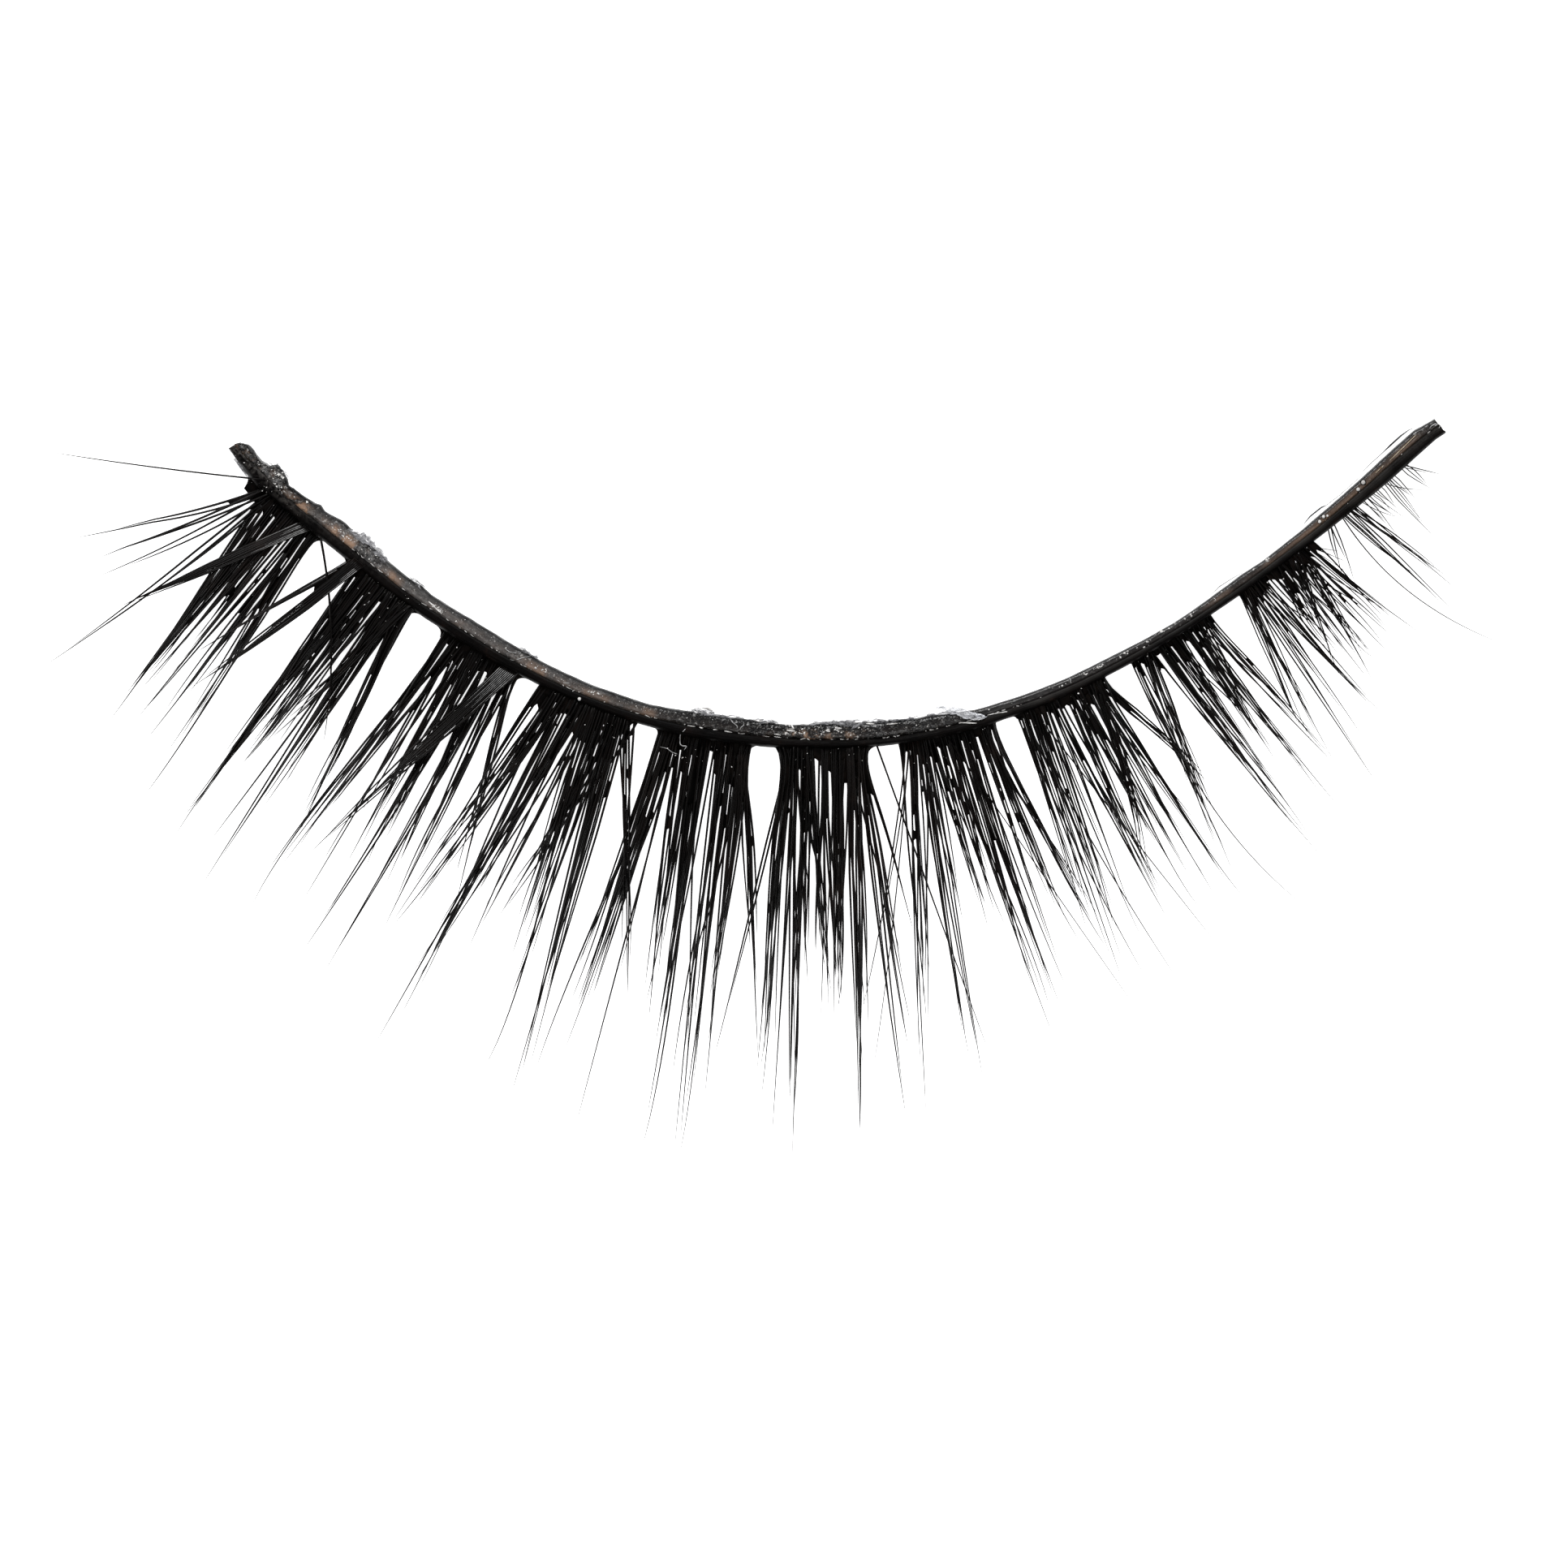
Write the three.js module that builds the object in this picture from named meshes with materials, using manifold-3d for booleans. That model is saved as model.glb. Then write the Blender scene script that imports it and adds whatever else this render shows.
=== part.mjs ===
// False eyelash strip for one eye, lying with its underside on a surface.
// Millimetres. +X runs along the band to the inner corner, +Y to the eyelid, +Z up.
// The origin is on the underside, at the middle of the band's centre line.
import * as THREE from 'three';
import * as BufferGeometryUtils from 'three/addons/utils/BufferGeometryUtils.js';
import Module from 'manifold-3d';

// Driving sizes
const BAND_LENGTH = 33;       // along the centre line, from corner to corner
const BAND_WIDTH = 0.65;      // strip and root bead together, seen from above
const STRIP_HEIGHT = 0.4;
const STRIP_CHAMFER = 0.07;
const BEAD_COVER = 0.04;      // glue above the upper layer of roots
const JOIN_GAP = 0.03;        // between strip, bead and root webs
const LASH_REACH = 9.84;      // what the reach of a lock is a share of: in plan, from the centre line
const LOCK_THICKNESS = 0.1;
const LAYER_GAP = 0.05;       // between the two layers of clusters
const WEB_DEPTH = 0.3;        // glued root web beyond the bead, in plan
const WEB_END_DEPTH = 0.15;   // the same at the two ends of a web
const WEB_COVER = 0.02;       // glue above and below the locks in the web
const WEB_EDGE_THICKNESS = 0.08;
const ROOT_SETBACK = 0.015;   // from the web's inner face to the root ends buried in it
const FLOOR_GAP = 0.015;      // under the lowest point of the lashes
const ROOT_DROOP = THREE.MathUtils.degToRad(8);
const TIP_RISE = THREE.MathUtils.degToRad(56);

// The centre line: arcs walked out from the middle, run in per cent of BAND_LENGTH, turn in degrees
const ARCS_TO_OUTER_CORNER = [
  { run: 9, turn: 9 },
  { run: 9, turn: 12 },
  { run: 9, turn: 10 },
  { run: 18.2, turn: 10 },
  { run: 4.8, turn: 6 },
];
const ARCS_TO_INNER_CORNER = [
  { run: 10, turn: 14 },
  { run: 9.5, turn: 13 },
  { run: 9.5, turn: 6.5 },
  { run: 10, turn: 5 },
  { run: 11, turn: 1.5 },
];

// Edges of the band: at, in per cent of BAND_LENGTH from the outer corner, and the offsets of the
// lid edge, the seam and the lash edge from the centre line, in per cent of BAND_WIDTH
const BAND_EDGES = [
  { at: 0, lid: 22, seam: 0, lash: -26 },
  { at: 2, lid: 36, seam: 0, lash: -40 },
  { at: 3.4, lid: 66, seam: 4, lash: -46 },
  { at: 5, lid: 26, seam: -5, lash: -46 },
  { at: 8, lid: 52, seam: -2, lash: -45 },
  { at: 12, lid: 62, seam: -4, lash: -46 },
  { at: 16, lid: 33, seam: -14, lash: -53 },
  { at: 23, lid: 37, seam: -16, lash: -57 },
  { at: 30, lid: 20, seam: -24, lash: -58 },
  { at: 36, lid: 22, seam: -24, lash: -58 },
  { at: 41, lid: 42, seam: -18, lash: -60 },
  { at: 47, lid: 48, seam: -18, lash: -55 },
  { at: 53, lid: 48, seam: -18, lash: -46 },
  { at: 57, lid: 43, seam: -8, lash: -42 },
  { at: 62, lid: 34, seam: 2, lash: -32 },
  { at: 70, lid: 33, seam: 4, lash: -26 },
  { at: 76, lid: 26, seam: 2, lash: -24 },
  { at: 82, lid: 38, seam: 6, lash: -22 },
  { at: 90, lid: 46, seam: 12, lash: -22 },
  { at: 96, lid: 58, seam: 14, lash: -22 },
  { at: 100, lid: 44, seam: 12, lash: -20 },
];
const BAND_STATIONS = 41;     // odd, so that one flat face lies across the middle

// The root bead's section: across from the seam, in per cent of its width, and up, in per cent of its height
const BEAD_SECTION = [
  { across: 0, up: 0 },
  { across: 100, up: 0 },
  { across: 100, up: 70 },
  { across: 75, up: 94 },
  { across: 40, up: 100 },
  { across: 0, up: 80 },
];

// The thirteen clusters, outer corner first. from and to bound the root web, and layer is 0 or 1.
// A lock's row: root, width and tip in per cent of BAND_LENGTH, reach in per cent of LASH_REACH,
// and bow, how far its middle swings towards the inner corner, in per cent of BAND_LENGTH.
const LOCK_COLUMNS = ['root', 'width', 'tip', 'reach', 'bow'];
const CLUSTERS = [
  { from: 2.5, to: 9.2, layer: 0, locks: [
    [3.3, 0.4, -2.8, 43, 0.2], [3.4, 0.4, -0.6, 42, 0], [3.7, 0.4, 0.3, 45, 0], [3.9, 0.4, 1.7, 69, 0],
    [7.9, 1.4, 2.3, 47, -0.4], [4.4, 1.2, 6.0, 69, 0.2], [5.4, 1.1, 5.9, 62, 0], [6.1, 0.9, 6.4, 58, 0],
    [6.7, 0.8, 7.0, 50, 0], [7.2, 0.8, 7.3, 64, 0], [7.9, 0.9, 8.6, 66, 0], [8.6, 0.8, 10.4, 77, 0],
  ] },
  { from: 11.7, to: 17.8, layer: 1, locks: [
    [12.1, 0.5, 7.6, 42, -0.2], [12.4, 0.7, 8.7, 50, 0], [12.8, 0.7, 13.3, 80, 0], [13.5, 0.7, 13.2, 66, 0],
    [14.2, 0.7, 13.9, 58, 0], [14.8, 0.7, 14.3, 56, 0], [15.3, 0.6, 15.3, 76, 0], [15.8, 0.7, 16.5, 86, 0],
    [16.3, 0.7, 16.9, 62, 0], [16.9, 0.8, 14.6, 47, 0], [17.2, 0.6, 19.2, 62, 0], [17.4, 0.5, 19.0, 55, 0],
  ] },
  { from: 20.0, to: 26.6, layer: 0, locks: [
    [20.4, 0.7, 19.3, 84, 0], [21.0, 0.7, 19.8, 66, 0], [21.5, 0.6, 21.8, 76, 0], [25.7, 1.0, 20.6, 67, -0.3],
    [22.3, 0.8, 23.0, 63, 0], [23.0, 0.8, 24.0, 62, 0], [23.6, 0.7, 23.3, 86, 0], [24.3, 0.8, 25.3, 63, 0],
    [24.9, 0.7, 24.7, 88, 0], [25.6, 0.7, 26.3, 72, 0], [26.2, 0.5, 28.8, 60, 0],
  ] },
  { from: 28.6, to: 35.0, layer: 1, locks: [
    [29.1, 0.8, 26.3, 70, -0.2], [29.6, 0.7, 26.8, 70, 0], [30.1, 0.7, 28.6, 97, 0], [30.7, 0.6, 28.9, 76, 0],
    [31.2, 0.6, 29.3, 72, 0], [31.6, 0.5, 30.6, 68, 0], [34.2, 0.9, 31.4, 58, 0], [32.0, 0.7, 32.8, 66, 0],
    [32.7, 0.7, 33.2, 62, 0], [33.3, 0.7, 33.4, 93, 0], [33.9, 0.7, 34.9, 97, 0], [34.4, 0.6, 35.2, 90, 0],
    [34.7, 0.5, 38.7, 69, 0.3],
  ] },
  { from: 37.0, to: 44.2, layer: 0, locks: [
    [37.3, 0.5, 35.6, 90, 0], [37.7, 0.6, 36.4, 84, 0], [38.1, 0.6, 37.0, 72, 0], [38.4, 0.4, 37.8, 100, 0],
    [38.8, 0.6, 39.8, 72, 0], [39.4, 0.7, 39.9, 68, 0], [40.0, 0.7, 40.6, 70, 0], [40.7, 0.7, 40.6, 102, 0],
    [41.4, 0.7, 42.0, 102, 0], [42.1, 0.7, 42.6, 103, 0], [42.8, 0.6, 43.3, 88, 0], [43.3, 0.6, 43.0, 76, 0],
    [43.8, 0.6, 41.6, 62, 0], [43.4, 0.7, 45.8, 78, 0],
  ] },
  { from: 45.2, to: 52.6, layer: 1, locks: [
    [46.3, 0.4, 43.6, 78, 0], [45.7, 0.6, 45.9, 76, 0], [46.3, 0.6, 45.9, 88, 0], [46.7, 0.6, 46.7, 97, 0],
    [47.1, 0.7, 47.7, 100, 0], [47.6, 0.6, 48.1, 60, 0], [47.3, 0.5, 49.6, 62, 0], [48.3, 0.6, 49.1, 68, 0],
    [48.9, 0.6, 49.3, 66, 0], [49.5, 0.7, 49.8, 69, 0], [50.2, 0.7, 49.9, 66, 0], [50.9, 0.6, 50.9, 92, 0],
    [51.5, 0.5, 50.8, 84, 0], [51.6, 0.5, 52.8, 92, 0], [51.9, 0.5, 53.3, 76, 0], [52.3, 0.4, 53.9, 48, 0],
  ] },
  { from: 54.4, to: 61.3, layer: 0, locks: [
    [54.7, 0.4, 51.1, 66, 0], [54.8, 0.5, 53.6, 92, 0], [55.2, 0.5, 54.2, 74, 0], [55.7, 0.5, 55.8, 80, 0],
    [56.1, 0.5, 56.3, 86, 0], [56.0, 0.5, 56.6, 47, 0], [56.6, 0.6, 58.0, 50, 0], [57.4, 0.7, 58.6, 50, 0],
    [58.3, 0.7, 59.8, 78, 0], [59.0, 0.7, 60.4, 72, 0], [59.8, 0.6, 61.0, 68, 0], [60.5, 0.7, 62.0, 58, 0],
    [61.0, 0.5, 63.6, 62, 0],
  ] },
  { from: 62.7, to: 69.7, layer: 1, locks: [
    [63.0, 0.4, 63.0, 56, 0], [63.5, 0.4, 63.6, 70, 0], [64.1, 0.5, 64.2, 66, 0], [64.7, 0.5, 64.3, 58, 0],
    [65.2, 0.5, 65.3, 62, 0], [65.9, 0.6, 66.7, 60, 0], [66.6, 0.7, 67.0, 56, 0], [67.4, 0.7, 68.2, 54, 0],
    [68.1, 0.6, 68.8, 62, 0], [69.2, 0.6, 66.8, 48, 0.2], [68.7, 0.5, 69.6, 60, 0], [69.1, 0.5, 70.8, 64, 0],
    [69.4, 0.6, 72.6, 36, 0.2],
  ] },
  { from: 71.9, to: 78.5, layer: 0, locks: [
    [72.3, 0.4, 71.0, 58, 0], [72.8, 0.4, 71.2, 50, 0], [73.3, 0.4, 71.8, 42, 0], [73.9, 0.6, 76.2, 65, 0],
    [74.3, 0.6, 76.0, 60, 0], [74.9, 0.6, 76.2, 50, 0], [75.6, 0.6, 75.9, 33, 0], [76.3, 0.5, 76.8, 38, 0],
    [76.8, 0.5, 77.0, 40, 0], [77.7, 0.5, 77.0, 34, 0], [77.1, 0.5, 78.4, 57, 0], [78.2, 0.5, 80.0, 48, 0],
  ] },
  { from: 81.1, to: 87.1, layer: 1, locks: [
    [81.4, 0.4, 79.3, 40, 0], [81.7, 0.4, 79.9, 46, 0], [81.9, 0.4, 81.4, 57, 0], [82.2, 0.5, 82.4, 46, 0],
    [82.7, 0.6, 84.2, 45, 0], [83.6, 0.5, 84.2, 24, 0], [84.1, 0.5, 84.4, 27, 0], [86.2, 0.5, 83.3, 31, 0],
    [84.9, 0.5, 85.1, 36, 0], [85.4, 0.5, 86.0, 33, 0], [86.6, 0.4, 85.2, 37, 0], [86.2, 0.5, 87.0, 34, 0],
    [86.6, 0.5, 87.8, 31, 0], [86.9, 0.4, 89.2, 34, 0],
  ] },
  { from: 89.0, to: 89.8, layer: 0, locks: [
    [89.3, 0.3, 87.8, 12, 0], [89.5, 0.3, 88.2, 15, 0],
  ] },
  { from: 90.1, to: 91.9, layer: 1, locks: [
    [90.3, 0.3, 93.6, 50, -1.2], [90.8, 0.5, 92.2, 36, 0], [91.4, 0.5, 93.6, 32, 0],
  ] },
  { from: 92.0, to: 96.6, layer: 0, locks: [
    [92.3, 0.4, 92.6, 13, 0], [92.8, 0.4, 93.2, 11, 0], [93.6, 0.4, 93.8, 8, 0], [94.5, 0.4, 94.7, 19, 0],
    [94.9, 0.4, 95.5, 12, 0], [96.1, 0.4, 97.4, 9, 0],
  ] },
];

// Stations along a lock as shares of its length, before its pointed tip
const LOCK_STATIONS = [0, 0.2, 0.42, 0.66, 0.86];
const LOCK_SIDES = 4;
const TIP_THINNING = 0.7;     // share of LOCK_THICKNESS that is lost towards the tip
const TAPER_POWER = 1.3;      // above 1 keeps the lock wide for longer
const DIRECTION_STEP = 0.01;  // share of a lock's length over which its direction is taken

// Neighbouring locks of a cluster lie by turns below and above its middle, in per cent of LOCK_THICKNESS
const LOCK_LIFTS = [-62, 52, -52, 62];

// The curl, the same for every lash: an arc in the upright plane, over the plan distance out,
// which reaches TIP_RISE at the tip of the longest lock
const REACHES = CLUSTERS.flatMap(({ locks }) => locks.map((row) => row[LOCK_COLUMNS.indexOf('reach')]));
const LONGEST_REACH = (Math.max(...REACHES) / 100) * LASH_REACH;
const CURL_RADIUS = LONGEST_REACH / (Math.sin(TIP_RISE) + Math.sin(ROOT_DROOP));
const CURL_DIP = CURL_RADIUS * (1 - Math.cos(ROOT_DROOP));
const HALF_LAYER = LOCK_THICKNESS * (0.5 + Math.max(...LOCK_LIFTS) / 100);
const ROOT_HEIGHT = CURL_DIP + HALF_LAYER + FLOOR_GAP;
const LAYER_STEP = 2 * HALF_LAYER + LAYER_GAP;
const WEB_THICKNESS = 2 * (HALF_LAYER + WEB_COVER);
const BEAD_HEIGHT = ROOT_HEIGHT + LAYER_STEP + HALF_LAYER + BEAD_COVER;

const UPRIGHT = new THREE.Vector3(0, 0, 1);

const wasm = await Module();
wasm.setup();

function bandAt(share) {
  const side = share < 0.5 ? -1 : 1;
  const arcs = side < 0 ? ARCS_TO_OUTER_CORNER : ARCS_TO_INNER_CORNER;
  let left = Math.abs(share - 0.5) * BAND_LENGTH;
  let x = 0;
  let y = 0;
  let heading = 0;
  for (const { run, turn } of arcs) {
    const length = (run / 100) * BAND_LENGTH;
    const step = Math.min(left, length);
    const bend = THREE.MathUtils.degToRad(turn) / length;
    const end = heading + bend * step;
    x += (Math.sin(end) - Math.sin(heading)) / bend;
    y += (Math.cos(heading) - Math.cos(end)) / bend;
    heading = end;
    left -= step;
    if (left <= 0) break;
  }
  // past its ends the line runs on straight
  x += left * Math.cos(heading);
  y += left * Math.sin(heading);
  return { x: side * x, y, heading: side * heading };
}

// A point at a share of the band, a distance out from the centre line to the lash side, at height z
function place(share, out, z) {
  const { x, y, heading } = bandAt(share);
  return new THREE.Vector3(x + Math.sin(heading) * out, y - Math.cos(heading) * out, z);
}

function edgeOut(share, column) {
  const at = THREE.MathUtils.clamp(share * 100, 0, 100);
  const next = Math.max(1, BAND_EDGES.findIndex((row) => row.at >= at));
  const low = BAND_EDGES[next - 1];
  const high = BAND_EDGES[next];
  const mix = (at - low.at) / (high.at - low.at);
  return -(THREE.MathUtils.lerp(low[column], high[column], mix) / 100) * BAND_WIDTH;
}

function curlHeight(out) {
  const pitch = Math.asin(out / CURL_RADIUS - Math.sin(ROOT_DROOP));
  return ROOT_HEIGHT + CURL_RADIUS * (Math.cos(ROOT_DROOP) - Math.cos(pitch));
}

// A closed body through rings of equally many corners, with flat ends or a pointed tip
function loft(rings, tip) {
  const sides = rings[0].length;
  const corners = rings.flat();
  const faces = [];
  for (let ring = 0; ring + 1 < rings.length; ring += 1) {
    for (let side = 0; side < sides; side += 1) {
      const a = ring * sides + side;
      const b = ring * sides + ((side + 1) % sides);
      faces.push([a, b + sides, b], [a, a + sides, b + sides]);
    }
  }
  for (let side = 1; side + 1 < sides; side += 1) faces.push([0, side, side + 1]);
  const last = (rings.length - 1) * sides;
  if (tip) {
    corners.push(tip);
    for (let side = 0; side < sides; side += 1) {
      faces.push([last + side, corners.length - 1, last + ((side + 1) % sides)]);
    }
  } else {
    for (let side = 1; side + 1 < sides; side += 1) faces.push([last, last + side + 1, last + side]);
  }
  const geometry = new THREE.BufferGeometry().setFromPoints(corners);
  geometry.setIndex(faces.flat());
  return geometry;
}

function solidOf(geometry) {
  const merged = BufferGeometryUtils.mergeVertices(geometry);
  return new wasm.Manifold(new wasm.Mesh({
    numProp: 3,
    vertProperties: new Float32Array(merged.attributes.position.array),
    triVerts: new Uint32Array(merged.index.array),
  }));
}

function fuse(geometries) {
  const solid = geometries.map(solidOf).reduce((whole, piece) => whole.add(piece));
  const { vertProperties, triVerts } = solid.getMesh();
  const geometry = new THREE.BufferGeometry();
  geometry.setAttribute('position', new THREE.BufferAttribute(vertProperties, 3));
  geometry.setIndex(new THREE.BufferAttribute(triVerts, 1));
  return geometry;
}

// Corners of a section standing across the band, from pairs of out and z
function sectionAt(share, pairs) {
  return pairs.map(([out, z]) => place(share, out, z));
}

function stationsBetween(from, to, count) {
  return Array.from({ length: count + 1 }, (_, index) => THREE.MathUtils.lerp(from, to, index / count));
}

function bandStrip() {
  const sections = stationsBetween(0, 1, BAND_STATIONS).map((share) => {
    const lid = edgeOut(share, 'lid');
    const seam = edgeOut(share, 'seam') - JOIN_GAP / 2;
    const shoulder = STRIP_HEIGHT - STRIP_CHAMFER;
    return sectionAt(share, [
      [lid, 0],
      [seam, 0],
      [seam, shoulder],
      [seam - STRIP_CHAMFER, STRIP_HEIGHT],
      [lid + STRIP_CHAMFER, STRIP_HEIGHT],
      [lid, shoulder],
    ]);
  });
  return loft(sections);
}

function rootBead() {
  const sections = stationsBetween(0, 1, BAND_STATIONS).map((share) => {
    const seam = edgeOut(share, 'seam') + JOIN_GAP / 2;
    const lash = edgeOut(share, 'lash');
    return sectionAt(share, BEAD_SECTION.map(({ across, up }) => [
      THREE.MathUtils.lerp(seam, lash, across / 100),
      (up / 100) * BEAD_HEIGHT,
    ]));
  });
  return loft(sections);
}

// The glued web that holds a cluster's roots, a wedge beyond the bead's lash edge
function rootWeb({ from, to, layer }) {
  const steps = Math.max(2, Math.round(to - from));
  const sections = stationsBetween(from / 100, to / 100, steps).map((share, index) => {
    const near = edgeOut(share, 'lash') + JOIN_GAP;
    const atEnd = index === 0 || index === steps;
    const far = near + (atEnd ? WEB_END_DEPTH : WEB_DEPTH);
    const z = curlHeight(near) + layer * LAYER_STEP;
    return sectionAt(share, [
      [near, z - WEB_THICKNESS / 2],
      [far, z - WEB_EDGE_THICKNESS / 2],
      [far, z + WEB_EDGE_THICKNESS / 2],
      [near, z + WEB_THICKNESS / 2],
    ]);
  });
  return loft(sections);
}

function lashLock(row, layer, lift) {
  const lock = Object.fromEntries(LOCK_COLUMNS.map((name, index) => [name, row[index]]));
  const root = lock.root / 100;
  const start = edgeOut(root, 'lash') + JOIN_GAP + ROOT_SETBACK;
  const end = (lock.reach / 100) * LASH_REACH;
  const path = (along) => {
    const swing = lock.bow * 4 * along * (1 - along);
    const share = (lock.root + (lock.tip - lock.root) * along + swing) / 100;
    const out = THREE.MathUtils.lerp(start, end, along);
    return place(share, out, curlHeight(out) + layer * LAYER_STEP + lift);
  };
  const rings = LOCK_STATIONS.map((along) => {
    const centre = path(along);
    const forward = path(along + DIRECTION_STEP).sub(centre).normalize();
    const across = new THREE.Vector3().crossVectors(forward, UPRIGHT).normalize();
    const up = new THREE.Vector3().crossVectors(across, forward);
    const halfWidth = (lock.width / 200) * BAND_LENGTH * (1 - along ** TAPER_POWER);
    const halfThickness = (LOCK_THICKNESS / 2) * (1 - TIP_THINNING * along);
    return Array.from({ length: LOCK_SIDES }, (_, side) => {
      const angle = (2 * Math.PI * side) / LOCK_SIDES + Math.PI / 2;
      return centre.clone()
        .addScaledVector(across, halfWidth * Math.cos(angle))
        .addScaledVector(up, halfThickness * Math.sin(angle));
    });
  });
  return loft(rings, path(1));
}

function lashCluster(cluster) {
  const locks = cluster.locks.map((row, index) => {
    const lift = (LOCK_LIFTS[index % LOCK_LIFTS.length] / 100) * LOCK_THICKNESS;
    return lashLock(row, cluster.layer, lift);
  });
  return fuse([rootWeb(cluster), ...locks]);
}

function named(name, geometry, material) {
  const mesh = new THREE.Mesh(geometry, material);
  mesh.name = name;
  return mesh;
}

const group = new THREE.Group();
group.add(named('band_strip', bandStrip(), new THREE.MeshStandardMaterial({
  color: '#4b4139', roughness: 0.4, metalness: 0,
})));
group.add(named('root_bead', rootBead(), new THREE.MeshStandardMaterial({
  color: '#0c0a0a', roughness: 0.25, metalness: 0,
})));
CLUSTERS.forEach((cluster, index) => {
  const name = `lash_cluster_${String(index + 1).padStart(2, '0')}`;
  group.add(named(name, lashCluster(cluster), new THREE.MeshStandardMaterial({
    color: '#141110', roughness: 0.35, metalness: 0,
  })));
});

export default group;
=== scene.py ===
"""False eyelash strip seen from straight above, on a white floor.

Lengths are in millimetres until a mesh is made.
"""

import itertools
import math

import bpy
import numpy as np
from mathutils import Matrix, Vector


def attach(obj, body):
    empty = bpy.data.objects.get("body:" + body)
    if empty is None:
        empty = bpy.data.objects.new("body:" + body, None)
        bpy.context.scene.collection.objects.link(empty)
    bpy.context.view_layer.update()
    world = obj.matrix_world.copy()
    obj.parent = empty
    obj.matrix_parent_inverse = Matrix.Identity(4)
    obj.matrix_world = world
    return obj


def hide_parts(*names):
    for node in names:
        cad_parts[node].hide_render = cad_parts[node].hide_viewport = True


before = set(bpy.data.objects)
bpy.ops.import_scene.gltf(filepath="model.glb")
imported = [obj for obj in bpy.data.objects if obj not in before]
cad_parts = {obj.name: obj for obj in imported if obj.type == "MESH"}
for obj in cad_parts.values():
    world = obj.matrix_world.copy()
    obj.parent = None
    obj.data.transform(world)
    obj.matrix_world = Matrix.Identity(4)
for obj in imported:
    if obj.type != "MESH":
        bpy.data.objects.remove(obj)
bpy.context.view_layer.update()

MM = 0.001


def add_object(name, data):
    thing = bpy.data.objects.new(name, data)
    bpy.context.scene.collection.objects.link(thing)
    return thing


# The camera
VIEW_WIDTH = 37.5
VIEW_CENTRE = (-1.35, -1.18)
VIEW_DISTANCE = 500.0

camera_data = bpy.data.cameras.new("camera")
camera_data.sensor_width = 36.0
camera_data.lens = camera_data.sensor_width * VIEW_DISTANCE / VIEW_WIDTH
camera_data.clip_start = 0.01
camera_data.clip_end = 20.0
camera = add_object("camera", camera_data)
camera.location = (VIEW_CENTRE[0] * MM, VIEW_CENTRE[1] * MM, VIEW_DISTANCE * MM)
bpy.context.scene.camera = camera

# Sizes shared with the solids
BAND_LENGTH = 33.0
BAND_WIDTH = 0.65
STRIP_HEIGHT = 0.4
LASH_REACH = 9.84
LOCK_THICKNESS = 0.1
ROOT_DROOP = math.radians(8)
TIP_RISE = math.radians(56)
BEAD_HEIGHT = 0.655
ROOT_HEIGHT = 0.229
LAYER_STEP = 0.274
LOCK_LIFTS = (-62, 52, -52, 62)

ARCS_TO_OUTER_CORNER = ((9, 9), (9, 12), (9, 10), (18.2, 10), (4.8, 6))
ARCS_TO_INNER_CORNER = ((10, 14), (9.5, 13), (9.5, 6.5), (10, 5), (11, 1.5))

# at in per cent of the band's length; lid edge, seam and lash edge in per cent of its width
BAND_EDGES = (
    (0, 22, 0, -26), (0.5, 34, 0, -30), (1.2, 38, 0, -36), (2.4, 33, 2, -42), (2.9, 38, 3, -45),
    (3.2, 64, 4, -46), (3.9, 60, 3, -46), (4.9, 30, -4, -46), (6, 36, -5, -45), (7.2, 44, -4, -45),
    (7.6, 54, -2, -45), (8.1, 46, -2, -45), (9.5, 56, -2, -45), (12, 52, -3, -46), (14, 42, -6, -50),
    (16, 32, -12, -53), (17, 36, -12, -54), (18, 31, -14, -55), (23, 35, -16, -57), (30, 22, -22, -58),
    (36, 22, -22, -58), (39, 32, -20, -60), (41, 36, -18, -60), (44, 36, -18, -57), (46, 30, -18, -55),
    (50, 44, -18, -50), (53, 44, -18, -46), (57, 43, -8, -42), (60, 32, 0, -38), (62, 33, 2, -32),
    (70, 33, 4, -26), (76, 26, 2, -24), (82, 37, 6, -22), (84, 33, 8, -22), (90, 42, 12, -24),
    (93.3, 50, 18, -25), (95.1, 56, 22, -23), (97, 60, 26, -19), (98.4, 63, 26, -17), (99.2, 55, 22, -16),
    (100, 46, 16, -19),
)

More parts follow.
